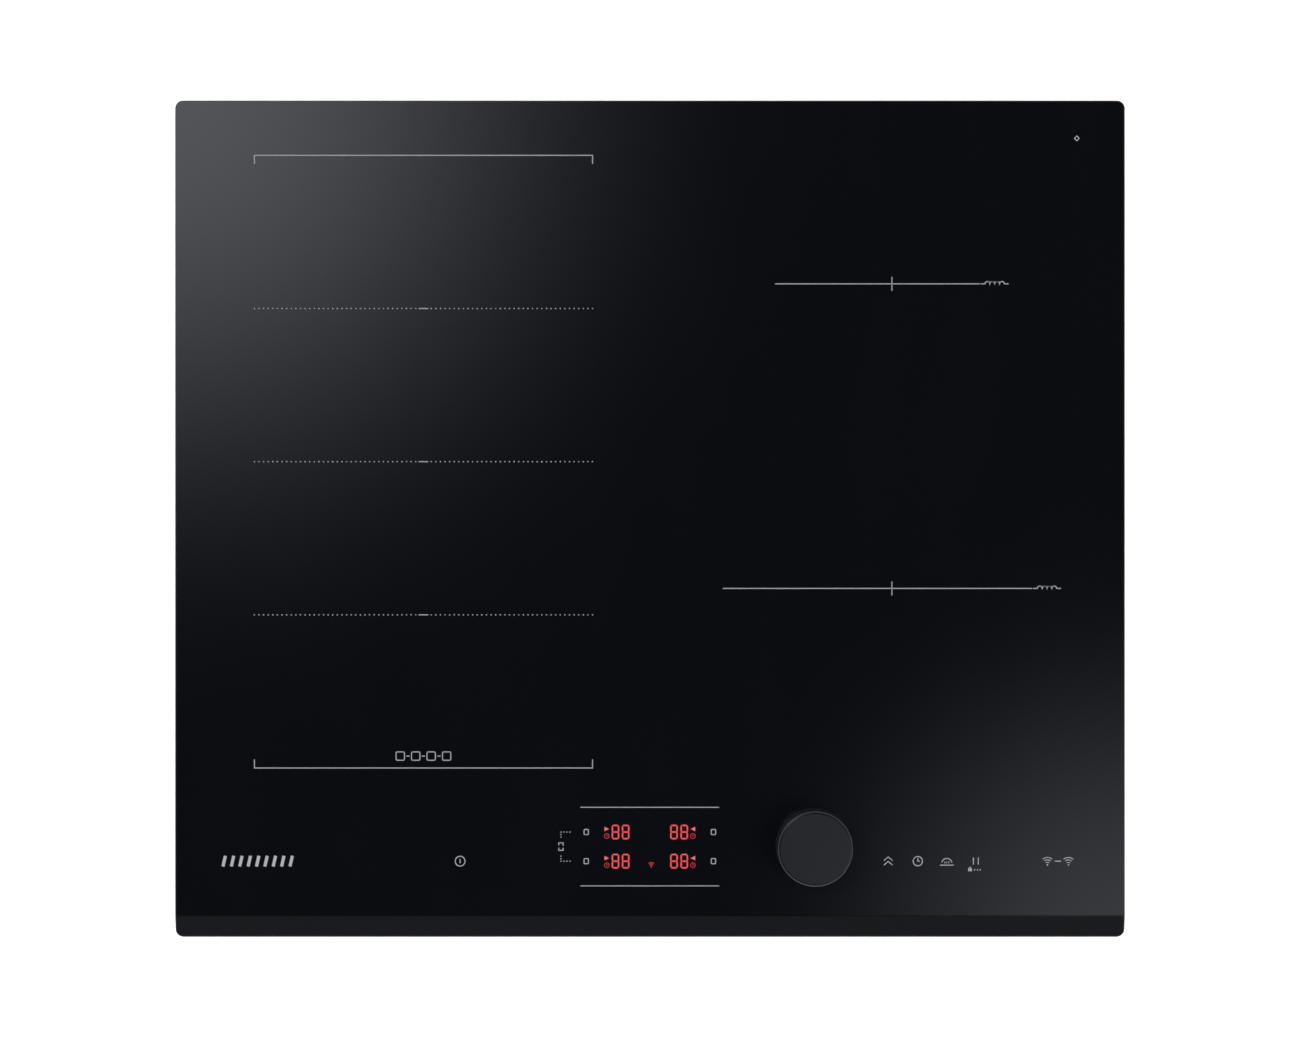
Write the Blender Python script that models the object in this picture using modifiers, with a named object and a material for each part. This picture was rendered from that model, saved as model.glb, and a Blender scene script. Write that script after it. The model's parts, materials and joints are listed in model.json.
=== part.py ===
"""Built-in induction hob: glass top, four-part flexible zone, two round zones and a lift-off dial.

Metres, +Z up. The origin is the middle of the case's underside, the user stands at -Y and +X is right.
"""

import math

import bmesh
import bpy
from mathutils import Matrix

MM = 0.001
GAP = 0.3 * MM  # between pieces that touch

# Glass top
GLASS_WIDTH = 590 * MM
GLASS_DEPTH = 520 * MM
GLASS_THICKNESS = 4 * MM
GLASS_CORNER = 5 * MM
GLASS_EDGE = 0.7 * MM
FRONT_BEVEL_WIDTH = 13.7 * MM
FRONT_BEVEL_DROP = 2.2 * MM
HEIGHT = 57 * MM  # case underside to glass surface

# Worktop cut-out and the case that hangs in it
CUTOUT_MARGIN = 15 * MM  # glass overhang past the cut-out
CASE_CLEARANCE = 4 * MM  # cut-out edge to case wall
CASE_CORNER = 6 * MM
CASE_BEND = 1.6 * MM
SHEET = 0.8 * MM

# Steel frame under the glass
FRAME_SHEET = 1 * MM
FRAME_FLANGE = 6 * MM  # how far the flange stands out past the case wall
FRAME_SKIRT = 8 * MM

# Foam seal
SEAL_WIDTH = 6.5 * MM
SEAL_HEIGHT = 2.5 * MM
SEAL_INSET = 3 * MM  # from the glass edge

# Air slots
SLOT_WIDTH = 3.4 * MM
SLOT_PITCH = 8 * MM
FRONT_SLOTS = 34
FRONT_SLOT_HEIGHT = 22 * MM
SIDE_SLOTS = 9
SIDE_SLOT_HEIGHT = 16 * MM
SLOT_LOW = 10 * MM  # bottom of the wall slots
SIDE_SLOTS_Y = -150 * MM

# Screws
SCREW_RADIUS = 1.5 * MM
SCREW_LENGTH = 6 * MM
SCREW_HEAD_RADIUS = 3.2 * MM
SCREW_HEAD_HEIGHT = 1.6 * MM
SCREW_RECESS = 0.9 * MM
SCREW_SLACK = 0.4 * MM
SIDE_SCREW_Y = 20 * MM
FRONT_SCREW_X = 215 * MM
REAR_SCREW_X = 110 * MM
FRAME_SCREW_DROP = 4.4 * MM  # below the frame's flange

# Spring clips
CLIP_SHEET = 0.7 * MM
CLIP_WIDTH = 36 * MM
CLIP_HEIGHT = 20 * MM
CLIP_LEAF_WIDTH = 15 * MM
CLIP_REACH = 5.4 * MM  # how far the leaf stands out from the case wall
CLIP_TOP = 43 * MM
CLIP_Y = 130 * MM
CLIP_SCREW_SHIFT = 12.5 * MM  # screw to leaf centre

# Terminal box in the rear wall
BOX_X = 140 * MM
BOX_WIDTH = 104 * MM
BOX_DEPTH = 35 * MM
BOX_LOW = 6 * MM
BOX_HEIGHT = 34 * MM
BOX_WALL = 1.8 * MM
BOX_FLANGE = 3 * MM
BOX_FLANGE_THICKNESS = 1.2 * MM
GLAND_BAY = 24 * MM
GLAND_RADIUS = 8 * MM
GLAND_BORE = 4.9 * MM
GLAND_LIP = 2 * MM
GLAND_WALL = 2 * MM
WIRE_WAY_FRONT = 10 * MM  # box mouth to the opening between its two bays
COVER_THICKNESS = 2 * MM
COVER_RECESS = 2.6 * MM  # cover face below the box mouth
COVER_GAP = 0.4 * MM
COVER_KNUCKLE = 1.3  # knuckle radius over half the cover's thickness
COVER_STUB_RADIUS = 0.9 * MM
COVER_STUB_LENGTH = 1.5 * MM
TERMINAL_POLES = 5
TERMINAL_PITCH = 12.6 * MM
TERMINAL_HEIGHT = 18 * MM
TERMINAL_DEPTH = 13 * MM

# Stack under the glass, from the top down
MICA = 0.5 * MM
WINDING_HEIGHT = 3.2 * MM
FORMER_BASE = 1.8 * MM
FERRITE_HEIGHT = 1.5 * MM
DECK_SHEET = 1 * MM
DECK_INSET = 3.2 * MM  # from the case's inner wall
DECK_LEG = 22 * MM
DECK_FOOT = 9 * MM
LEAD_HOLE_WIDTH = 34 * MM
LEAD_HOLE_DEPTH = 12 * MM

# Cooking zones
ZONE_RIGHT_X = 150.2 * MM
REAR_ZONE_Y = 146 * MM
REAR_ZONE_DIAMETER = 145 * MM
FRONT_ZONE_Y = -43.1 * MM
FRONT_ZONE_DIAMETER = 210 * MM
FLEX_X = -140.2 * MM
FLEX_Y = 35.6 * MM
FLEX_WIDTH = 211.5 * MM
FLEX_PITCH = 95.1 * MM
FLEX_COUNT = 4
COIL_MARGIN = 3.5 * MM  # zone edge to coil former
FORMER_RIM = 1.5 * MM
WINDING_BAND = 30 * MM
SENSOR_RADIUS = 5.5 * MM
SENSOR_HOLE = 7 * MM

# Boards and heat sinks
STANDOFF_HEIGHT = 5 * MM
STANDOFF_RADIUS = 3.5 * MM
BOARD_THICKNESS = 1.6 * MM
BOARD_WIDTH = 190 * MM
BOARD_LEFT_DEPTH = 330 * MM
BOARD_RIGHT_DEPTH = 270 * MM
BOARD_INNER_X = 74 * MM
BOARD_FRONT_Y = -150 * MM
BOARD_HOLE_INSET = 8 * MM
SINK_WIDTH = 44 * MM
SINK_HEIGHT = 24 * MM
SINK_LENGTH = 150 * MM
SINK_FINS = 6
SINK_FIN = 1.8 * MM
SINK_BASE = 4 * MM
CHOKE_RADIUS = 14 * MM
CHOKE_TUBE = 6 * MM

# Fan
FAN_Y = 150 * MM
FAN_HEIGHT = 33 * MM
FAN_SHELL = 1.6 * MM
SCROLL_START = 51 * MM
SCROLL_END = 64 * MM
FAN_CUTOFF_X = -20 * MM
FAN_DUCT = 74 * MM
INLET_RADIUS = 32 * MM
ROTOR_RADIUS = 46 * MM
ROTOR_INNER = 35 * MM
ROTOR_HEIGHT = 24 * MM
ROTOR_DISC = 2 * MM
ROTOR_BLADES = 18
BLADE_THICKNESS = 1.2 * MM
BLADE_SWEEP = math.radians(14)
MOTOR_RADIUS = 19 * MM
MOTOR_HEIGHT = 3.4 * MM
SPINDLE_RADIUS = 2 * MM
SPINDLE_LENGTH = 9 * MM
HUB_RADIUS = 5 * MM

# Controls under the glass
TRAY_LEFT = -142 * MM
TRAY_RIGHT = 271 * MM
TRAY_FRONT = -234 * MM
TRAY_REAR = -171 * MM
TRAY_WALL = 1.5 * MM
TRAY_FLOOR = 1.3 * MM
TRAY_CORNER = 4 * MM
DISPLAY_X = 0.3 * MM
DISPLAY_Y = -203.4 * MM
DISPLAY_WIDTH = 92 * MM
DISPLAY_DEPTH = 52 * MM
DOCK_RADIUS = 15 * MM
DOCK_BORE = 9 * MM
DOCK_HEIGHT = 3 * MM

# Dial
DIAL_X = 101.8 * MM
DIAL_Y = -203 * MM
DIAL_RADIUS = 23.75 * MM
DIAL_HEIGHT = 13 * MM  # glass surface to the top of the cap
DIAL_LIFT = 0.8 * MM  # glass surface to the cap's lower edge
DIAL_WALL = 2 * MM
DIAL_TOP = 1.8 * MM
DIAL_ROUND = 1.1 * MM
DIAL_DRAFT = 0.35 * MM  # how much smaller the top is than the foot, per side
FOOT_HEIGHT = 2.2 * MM
POST_RADIUS = 5 * MM
POST_HEIGHT = 9 * MM
BUSH_WALL = 1.6 * MM
BOSS_WALL = 1.8 * MM
MAGNET_HEIGHT = 4 * MM
MAGNET_WALL = 7.5 * MM

# Levels and outlines that follow
GLASS_UNDER = HEIGHT - GLASS_THICKNESS
FLANGE_TOP = GLASS_UNDER - GAP
FLANGE_UNDER = FLANGE_TOP - FRAME_SHEET
CASE_TOP = FLANGE_UNDER - GAP
CASE_HALF_X = GLASS_WIDTH / 2 - CUTOUT_MARGIN - CASE_CLEARANCE
CASE_HALF_Y = GLASS_DEPTH / 2 - CUTOUT_MARGIN - CASE_CLEARANCE
WALL_X = CASE_HALF_X - SHEET
WALL_Y = CASE_HALF_Y - SHEET
MICA_UNDER = GLASS_UNDER - GAP - MICA
WINDING_TOP = MICA_UNDER - GAP
FORMER_FLOOR = WINDING_TOP - WINDING_HEIGHT - GAP
FORMER_UNDER = FORMER_FLOOR - FORMER_BASE - FERRITE_HEIGHT
DECK_TOP = FORMER_UNDER - GAP
BOARD_UNDER = SHEET + STANDOFF_HEIGHT + GAP
BOARD_TOP = BOARD_UNDER + BOARD_THICKNESS
FRAME_SCREW_Z = FLANGE_UNDER - FRAME_SCREW_DROP
CLIP_SCREW_Z = CLIP_TOP - CLIP_HEIGHT / 2
COVER_AXIS_Y = CASE_HALF_Y - COVER_RECESS - COVER_THICKNESS / 2
COVER_AXIS_Z = BOX_LOW + BOX_HEIGHT - BOX_WALL - COVER_GAP - COVER_KNUCKLE * COVER_THICKNESS / 2
CONTROL_BOARD_UNDER = DECK_TOP + GAP + TRAY_FLOOR + GAP
CONTROL_BOARD_TOP = CONTROL_BOARD_UNDER + BOARD_THICKNESS
FAN_LOW = SHEET + GAP
FAN_TOP = FAN_LOW + FAN_HEIGHT
MOTOR_UNDER = FAN_TOP - FAN_SHELL - GAP - MOTOR_HEIGHT
ROTOR_TOP = MOTOR_UNDER - GAP


# ---------------------------------------------------------------- helpers


def clear_scene():
    for obj in list(bpy.data.objects):
        bpy.data.objects.remove(obj, do_unlink=True)


def collection(name):
    made = bpy.data.collections.new(name)
    bpy.context.scene.collection.children.link(made)
    return made


def finish_of(name, colour, roughness, metallic=0.0):
    made = bpy.data.materials.new(name)
    made.use_nodes = True
    shader = made.node_tree.nodes["Principled BSDF"]
    shader.inputs["Base Color"].default_value = (*colour, 1)
    shader.inputs["Roughness"].default_value = roughness
    shader.inputs["Metallic"].default_value = metallic
    return made


def put(name, data, place=(0, 0, 0)):
    """Links new mesh or curve data as an object in the parts collection."""
    obj = bpy.data.objects.new(name, data)
    obj.location = place
    PARTS.objects.link(obj)
    return obj


def evaluated_mesh(obj):
    bpy.context.view_layer.update()
    graph = bpy.context.evaluated_depsgraph_get()
    return bpy.data.meshes.new_from_object(obj.evaluated_get(graph), depsgraph=graph)


def remove(obj):
    bpy.data.objects.remove(obj, do_unlink=True)


def baked(obj):
    """The object with its modifiers or its curve made into one plain mesh."""
    mesh = evaluated_mesh(obj)
    work = bmesh.new()
    work.from_mesh(mesh)
    bmesh.ops.remove_doubles(work, verts=work.verts, dist=1e-6)
    work.to_mesh(mesh)
    work.free()
    made = bpy.data.objects.new(obj.name, mesh)
    made.matrix_world = obj.matrix_world.copy()
    PARTS.objects.link(made)
    name = obj.name
    remove(obj)
    made.name = name
    return made


def joined(name, objects):
    """Separate shapes that don't touch, as one object in world space."""
    work = bmesh.new()
    for obj in objects:
        mesh = evaluated_mesh(obj)
        mesh.transform(obj.matrix_world)
        work.from_mesh(mesh)
        remove(obj)
    bmesh.ops.remove_doubles(work, verts=work.verts, dist=1e-6)
    mesh = bpy.data.meshes.new(name)
    work.to_mesh(mesh)
    work.free()
    return put(name, mesh)


def as_tool(obj):
    """Turns an object into a hidden cutter or joining shape."""
    for holder in list(obj.users_collection):
        holder.objects.unlink(obj)
    CUTTERS.objects.link(obj)
    obj.hide_render = True
    obj.display_type = "WIRE"
    return obj


def combine(obj, tool, operation):
    step = obj.modifiers.new(operation.title() + " " + tool.name, "BOOLEAN")
    step.operation = operation
    step.solver = "EXACT"
    step.object = as_tool(tool)


def cut(obj, tool):
    combine(obj, tool, "DIFFERENCE")


def fuse(obj, tool):
    combine(obj, tool, "UNION")


def round_edges(obj, width, segments, angle=50):
    step = obj.modifiers.new("Rounded edges", "BEVEL")
    step.width = width
    step.segments = segments
    step.limit_method = "ANGLE"
    step.angle_limit = math.radians(angle)


def dress(obj, finish, smooth_angle=35):
    """Gives the piece its finish, and smooth shading up to an edge angle."""
    mesh = obj.data
    mesh.materials.clear()
    mesh.materials.append(finish)
    mesh.shade_smooth()
    mesh.set_sharp_from_angle(angle=math.radians(smooth_angle))
    return obj


def ring_points(radius, steps, centre=(0, 0)):
    points = []
    for index in range(steps):
        angle = 2 * math.pi * index / steps
        points.append((centre[0] + radius * math.cos(angle), centre[1] + radius * math.sin(angle)))
    return points


def rounded_points(width, depth, radius, steps=4, centre=(0, 0)):
    """A rectangle with round corners, anticlockwise. steps is the sides of each corner."""
    points = []
    for quarter, (side_x, side_y) in enumerate(((1, 1), (-1, 1), (-1, -1), (1, -1))):
        corner_x = centre[0] + side_x * (width / 2 - radius)
        corner_y = centre[1] + side_y * (depth / 2 - radius)
        for index in range(steps + 1):
            angle = math.pi / 2 * (quarter + index / steps)
            points.append((corner_x + radius * math.cos(angle), corner_y + radius * math.sin(angle)))
    return points


def span_points(left, right, front, rear):
    return [(left, front), (right, front), (right, rear), (left, rear)]


def plate(name, outlines, low, high):
    """A flat plate between two levels. The first outline is its edge, the others are holes."""
    flat = bpy.data.curves.new(name, "CURVE")
    flat.dimensions = "2D"
    flat.fill_mode = "BOTH"
    flat.extrude = (high - low) / 2
    for outline in outlines:
        line = flat.splines.new("POLY")
        line.points.add(len(outline) - 1)
        for point, (x, y) in zip(line.points, outline):
            point.co = (x, y, 0, 1)
        line.use_cyclic_u = True
    return baked(put(name, flat, (0, 0, (low + high) / 2)))


def bar(name, section, low, high, along):
    """A section drawn in the plane across an axis and run between two places along it.

    Along X the section is (y, z), and along Y it is (x, z).
    """
    if along == "X":
        turn = Matrix(((0, 0, 1, 0), (1, 0, 0, 0), (0, 1, 0, 0), (0, 0, 0, 1)))
    else:
        turn = Matrix(((1, 0, 0, 0), (0, 0, -1, 0), (0, 1, 0, 0), (0, 0, 0, 1)))
        low, high = -high, -low
    made = plate(name, [section], low, high)
    made.data.transform(turn @ made.matrix_world)
    made.location = (0, 0, 0)
    return made


def block(name, low, high):
    """A box between two corners."""
    work = bmesh.new()
    bmesh.ops.create_cube(work, size=1)
    mesh = bpy.data.meshes.new(name)
    work.to_mesh(mesh)
    work.free()
    sizes = [top - bottom for bottom, top in zip(low, high)]
    mesh.transform(Matrix.Diagonal((*sizes, 1)))
    return put(name, mesh, [(bottom + top) / 2 for bottom, top in zip(low, high)])


def turned(name, profile, steps, place=(0, 0, 0), closed=False):
    """A profile of (radius, height) points turned about Z. It runs down its outer side."""
    mesh = bpy.data.meshes.new(name)
    work = bmesh.new()
    verts = [work.verts.new((radius, 0, height)) for radius, height in profile]
    for first, second in zip(verts, verts[1:]):
        work.edges.new((first, second))
    if closed:
        work.edges.new((verts[-1], verts[0]))
    work.to_mesh(mesh)
    work.free()
    obj = put(name, mesh, place)
    turn = obj.modifiers.new("Turned", "SCREW")
    turn.steps = steps
    turn.render_steps = steps
    turn.use_merge_vertices = True
    turn.merge_threshold = 0.00001
    return baked(obj)


def tube(name, outer, inner, low, high, steps, place=(0, 0, 0)):
    profile = [(inner, high), (outer, high), (outer, low), (inner, low)]
    return turned(name, profile, steps, place, closed=True)


def rod(name, radius, low, high, steps, place=(0, 0, 0)):
    return turned(name, [(0, high), (radius, high), (radius, low), (0, low)], steps, place)


def rod_across(name, radius, low, high, steps, along, place):
    """A rod along X or Y between two places on that axis."""
    made = rod(name, radius, low, high, steps)
    if along == "X":
        made.data.transform(Matrix.Rotation(math.pi / 2, 4, "Y"))
    else:
        made.data.transform(Matrix.Rotation(-math.pi / 2, 4, "X"))
    made.location = place
    return made


# ---------------------------------------------------------------- enclosure


def make_glass_top():
    glass = plate(
        "glass_top",
        [rounded_points(GLASS_WIDTH, GLASS_DEPTH, GLASS_CORNER, 5)],
        GLASS_UNDER,
        HEIGHT,
    )
    edge = -GLASS_DEPTH / 2
    slope = FRONT_BEVEL_DROP / FRONT_BEVEL_WIDTH
    over = 5 * MM
    wedge = [
        (edge + FRONT_BEVEL_WIDTH, HEIGHT),
        (edge + FRONT_BEVEL_WIDTH, HEIGHT + over),
        (edge - over, HEIGHT + over),
        (edge - over, HEIGHT - FRONT_BEVEL_DROP - over * slope),
    ]
    cut(glass, bar("front_bevel", wedge, -GLASS_WIDTH, GLASS_WIDTH, "X"))
    dissolve = glass.modifiers.new("Whole faces", "DECIMATE")
    dissolve.decimate_type = "DISSOLVE"
    dissolve.angle_limit = math.radians(1)
    round_edges(glass, GLASS_EDGE, 2, 40)
    dress(glass, BLACK_GLASS)


def make_worktop_seal():
    outer_x = GLASS_WIDTH - 2 * SEAL_INSET
    outer_y = GLASS_DEPTH - 2 * SEAL_INSET
    outlines = [
        rounded_points(outer_x, outer_y, GLASS_CORNER),
        rounded_points(outer_x - 2 * SEAL_WIDTH, outer_y - 2 * SEAL_WIDTH, GLASS_CORNER / 2),
    ]
    dress(plate("worktop_seal", outlines, FLANGE_TOP - SEAL_HEIGHT, FLANGE_TOP), FOAM)


def frame_screws():
    """(name, x, y, direction out of the case) of the screws that hold the frame to the case."""
    return [
        ("case_screw_left", -CASE_HALF_X, SIDE_SCREW_Y, (-1, 0)),
        ("case_screw_right", CASE_HALF_X, SIDE_SCREW_Y, (1, 0)),
        ("case_screw_front_left", -FRONT_SCREW_X, -CASE_HALF_Y, (0, -1)),
        ("case_screw_front_right", FRONT_SCREW_X, -CASE_HALF_Y, (0, -1)),
        ("case_screw_rear_left", -REAR_SCREW_X, CASE_HALF_Y, (0, 1)),
        ("case_screw_rear_right", REAR_SCREW_X, CASE_HALF_Y, (0, 1)),
    ]


def wall_hole(name, x, y, z, direction, radius):
    """A cutter through the wall, and whatever lies just inside it, at one screw."""
    along = "X" if direction[0] else "Y"
    reach = SHEET + 6 * MM
    return rod_across(name, radius, -reach, reach, 10, along, (x, y, z))


def make_glass_frame():
    """A flange bonded under the glass, with a skirt that stands inside the case wall."""
    inner_x = 2 * (WALL_X - GAP - FRAME_SHEET)
    inner_y = 2 * (WALL_Y - GAP - FRAME_SHEET)
    inner = rounded_points(inner_x, inner_y, CASE_CORNER - SHEET - GAP - FRAME_SHEET)
    flange_x = 2 * (CASE_HALF_X + FRAME_FLANGE)
    flange_y = 2 * (CASE_HALF_Y + FRAME_FLANGE)
    flange = rounded_points(flange_x, flange_y, CASE_CORNER)
    skirt_x = 2 * (WALL_X - GAP)
    skirt_y = 2 * (WALL_Y - GAP)
    skirt = rounded_points(skirt_x, skirt_y, CASE_CORNER - SHEET - GAP)
    frame = plate("glass_frame", [flange, inner], FLANGE_UNDER, FLANGE_TOP)
    lowest = FLANGE_UNDER - FRAME_SKIRT
    fuse(frame, plate("frame_skirt", [skirt, inner], lowest, FLANGE_UNDER + FRAME_SHEET / 2))
    holes = []
    for name, x, y, direction in frame_screws():
        radius = SCREW_RADIUS + SCREW_SLACK
        holes.append(wall_hole("frame_hole_" + name, x, y, FRAME_SCREW_Z, direction, radius))
    cut(frame, joined("frame_holes", holes))
    dress(frame, ZINC_STEEL)


def standoff_places():
    """Middles of the raised bosses under the four corners of both boards."""
    places = []
    for side, depth in ((-1, BOARD_LEFT_DEPTH), (1, BOARD_RIGHT_DEPTH)):
        for near in (BOARD_HOLE_INSET, BOARD_WIDTH - BOARD_HOLE_INSET):
            for far in (BOARD_HOLE_INSET, depth - BOARD_HOLE_INSET):
                places.append((side * (BOARD_INNER_X + near), BOARD_FRONT_Y + far))
    return places


def air_slots():
    """Slot cutters: a row in the front wall, a row in each side wall, and the fan's grille."""
    slots = []
    through = 4 * MM
    front_top = SLOT_LOW + FRONT_SLOT_HEIGHT
    for index in range(FRONT_SLOTS):
        x = (index - (FRONT_SLOTS - 1) / 2) * SLOT_PITCH
        low = (x - SLOT_WIDTH / 2, -CASE_HALF_Y - through, SLOT_LOW)
        high = (x + SLOT_WIDTH / 2, -CASE_HALF_Y + through, front_top)
        slots.append(block(f"front_slot_{index}", low, high))
    side_top = SLOT_LOW + SIDE_SLOT_HEIGHT
    for side in (-1, 1):
        for index in range(SIDE_SLOTS):
            y = SIDE_SLOTS_Y + (index - (SIDE_SLOTS - 1) / 2) * SLOT_PITCH
            low = (side * CASE_HALF_X - through, y - SLOT_WIDTH / 2, SLOT_LOW)
            high = (side * CASE_HALF_X + through, y + SLOT_WIDTH / 2, side_top)
            slots.append(block(f"side_slot_{side}_{index}", low, high))
    rows = int(INLET_RADIUS * 2 / SLOT_PITCH)
    for index in range(rows):
        x = (index - (rows - 1) / 2) * SLOT_PITCH
        reach = math.sqrt(INLET_RADIUS**2 - x**2)
        for end in (-1, 1):
            middle = FAN_Y + end * (reach / 2 + SLOT_WIDTH / 4)
            half = reach / 2 - SLOT_WIDTH / 4
            low = (x - SLOT_WIDTH / 2, middle - half, -through)
            high = (x + SLOT_WIDTH / 2, middle + half, through)
            slots.append(block(f"fan_slot_{end}_{index}", low, high))
    return slots


def make_bottom_case():
    """The folded steel tray, with its slots, screw holes, terminal opening and board bosses."""
    work = bmesh.new()
    bmesh.ops.create_cube(work, size=1)
    bmesh.ops.scale(work, verts=work.verts, vec=(2 * CASE_HALF_X, 2 * CASE_HALF_Y, CASE_TOP))
    bmesh.ops.translate(work, verts=work.verts, vec=(0, 0, CASE_TOP / 2))
    top = [face for face in work.faces if face.normal.z > 0.5]
    bmesh.ops.delete(work, geom=top, context="FACES_ONLY")
    upright = [edge for edge in work.edges if abs(edge.verts[0].co.z - edge.verts[1].co.z) > MM]
    bmesh.ops.bevel(work, geom=upright, offset=CASE_CORNER, segments=4, profile=0.5, affect="EDGES")
    bottom = [edge for edge in work.edges if max(vert.co.z for vert in edge.verts) < MM / 10]
    bmesh.ops.bevel(work, geom=bottom, offset=CASE_BEND, segments=2, profile=0.5, affect="EDGES")
    mesh = bpy.data.meshes.new("bottom_case")
    work.to_mesh(mesh)
    work.free()
    case = put("bottom_case", mesh)
    thick = case.modifiers.new("Sheet", "SOLIDIFY")
    thick.thickness = SHEET
    thick.offset = -1
    thick.use_even_offset = True
    cut(case, joined("case_slots", air_slots()))
    holes = []
    for name, x, y, direction in frame_screws():
        radius = SCREW_RADIUS + SCREW_SLACK
        holes.append(wall_hole("case_hole_" + name, x, y, FRAME_SCREW_Z, direction, radius))
    for side, y in clip_places():
        screw_y = y + math.copysign(CLIP_SCREW_SHIFT, y)
        radius = SCREW_RADIUS + SCREW_SLACK
        holes.append(wall_hole("clip_hole", side * CASE_HALF_X, screw_y, CLIP_SCREW_Z, (side, 0), radius))
    mouth_low = (BOX_X - GAP, CASE_HALF_Y - 4 * MM, BOX_LOW - GAP)
    mouth_high = (BOX_X + BOX_WIDTH + GAP, CASE_HALF_Y + 4 * MM, BOX_LOW + BOX_HEIGHT + GAP)
    holes.append(block("terminal_mouth", mouth_low, mouth_high))
    cut(case, joined("case_holes", holes))
    bosses = []
    for index, (x, y) in enumerate(standoff_places()):
        top_level = SHEET + STANDOFF_HEIGHT
        bosses.append(rod(f"standoff_{index}", STANDOFF_RADIUS, SHEET / 2, top_level, 8, (x, y, 0)))
    fuse(case, joined("case_bosses", bosses))
    dress(case, ZINC_STEEL)


# ---------------------------------------------------------------- fasteners and clips


def make_screw_mesh():
    """A pan head screw with a cross recess. Its head's underside is at the origin and it points down."""
    dome = [(0, SCREW_HEAD_HEIGHT)]
    dome.append((SCREW_HEAD_RADIUS * 0.72, SCREW_HEAD_HEIGHT * 0.78))
    rest = [
        (SCREW_HEAD_RADIUS, SCREW_HEAD_HEIGHT * 0.3),
        (SCREW_HEAD_RADIUS, 0),
        (SCREW_RADIUS, 0),
        (SCREW_RADIUS, -SCREW_LENGTH),
        (0, -SCREW_LENGTH),
    ]
    screw = turned("screw_shape", dome + rest, 10)
    arm = SCREW_HEAD_RADIUS * 0.52
    half = SCREW_HEAD_RADIUS * 0.13
    floor = SCREW_HEAD_HEIGHT - SCREW_RECESS
    above = SCREW_HEAD_HEIGHT * 2
    slots = [
        block("slot_across", (-arm, -half, floor), (arm, half, above)),
        block("slot_along", (-half, -arm, floor), (half, arm, above)),
    ]
    for slot in slots:
        cut(screw, slot)
    mesh = evaluated_mesh(screw)
    for shape in [screw] + slots:
        remove(shape)
    mesh.name = "screw"
    return mesh


def place_screw(name, mesh, x, y, z, direction, stand_off):
    """Stands a screw in a wall, with its head's underside stand_off out from (x, y, z)."""
    screw = put(name, mesh)
    out_x, out_y = direction
    screw.location = (x + out_x * stand_off, y + out_y * stand_off, z)
    if out_x:
        screw.rotation_euler = (0, out_x * math.pi / 2, 0)
    else:
        screw.rotation_euler = (-out_y * math.pi / 2, 0, 0)
    dress(screw, BRIGHT_STEEL)


def clip_places():
    return [(-1, -CLIP_Y), (-1, CLIP_Y), (1, -CLIP_Y), (1, CLIP_Y)]


def clip_name(kind, side, y):
    return kind + ("_left" if side < 0 else "_right") + ("_front" if y < 0 else "_rear")


def make_spring_clip(side, y):
    """A screwed-on base with a leaf folded over its top that springs against the cut-out's edge."""
    name = clip_name("spring_clip", side, y)
    wall = GAP
    leaf = [
        (wall, CLIP_TOP - 1.2 * MM),
        (wall, CLIP_TOP),
        (wall + 0.5 * MM, CLIP_TOP + 0.9 * MM),
        (wall + 1.4 * MM, CLIP_TOP + 1.2 * MM),
        (wall + 2.2 * MM, CLIP_TOP + 0.7 * MM),
        (CLIP_REACH, CLIP_TOP - 0.55 * CLIP_HEIGHT),
        (CLIP_REACH, CLIP_TOP - 0.66 * CLIP_HEIGHT),
        (CLIP_REACH - 1.8 * MM, CLIP_TOP - 0.95 * CLIP_HEIGHT),
    ]
    edge = strip_outline(leaf, CLIP_SHEET)
    outline = [(side * (CASE_HALF_X + across), level) for across, level in edge]
    if side < 0:
        outline.reverse()
    half_leaf = CLIP_LEAF_WIDTH / 2
    clip = bar(name, outline, y - half_leaf, y + half_leaf, "Y")
    faces = sorted((side * (CASE_HALF_X + wall), side * (CASE_HALF_X + wall + CLIP_SHEET)))
    base_low = (faces[0], y - CLIP_WIDTH / 2, CLIP_TOP - CLIP_HEIGHT)
    base_high = (faces[1], y + CLIP_WIDTH / 2, CLIP_TOP - 0.6 * MM)
    fuse(clip, block(name + "_base", base_low, base_high))
    screw_y = y + math.copysign(CLIP_SCREW_SHIFT, y)
    radius = SCREW_RADIUS + SCREW_SLACK
    hole = wall_hole(name + "_hole", side * CASE_HALF_X, screw_y, CLIP_SCREW_Z, (side, 0), radius)
    cut(clip, hole)
    dress(clip, SPRING_STEEL)


def strip_outline(line, thickness):
    """The closed outline of a bent strip whose inner side follows a line of (across, level) points."""
    inner = list(line)
    outer = []
    for index, (across, level) in enumerate(line):
        before = line[max(index - 1, 0)]
        after = line[min(index + 1, len(line) - 1)]
        run = (after[0] - before[0], after[1] - before[1])
        length = math.hypot(*run)
        outer.append((across + run[1] / length * thickness, level - run[0] / length * thickness))
    return inner + outer[::-1]


def make_fasteners():
    screw = make_screw_mesh()
    for name, x, y, direction in frame_screws():
        place_screw(name, screw, x, y, FRAME_SCREW_Z, direction, GAP)
    for side, y in clip_places():
        make_spring_clip(side, y)
        screw_y = y + math.copysign(CLIP_SCREW_SHIFT, y)
        name = clip_name("clip_screw", side, y)
        stand_off = CLIP_SHEET + 2 * GAP
        place_screw(name, screw, side * CASE_HALF_X, screw_y, CLIP_SCREW_Z, (side, 0), stand_off)


# ---------------------------------------------------------------- mains entry


def box_levels():
    """Inner bottom and top of the terminal box."""
    return BOX_LOW + BOX_WALL, BOX_LOW + BOX_HEIGHT - BOX_WALL


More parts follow.
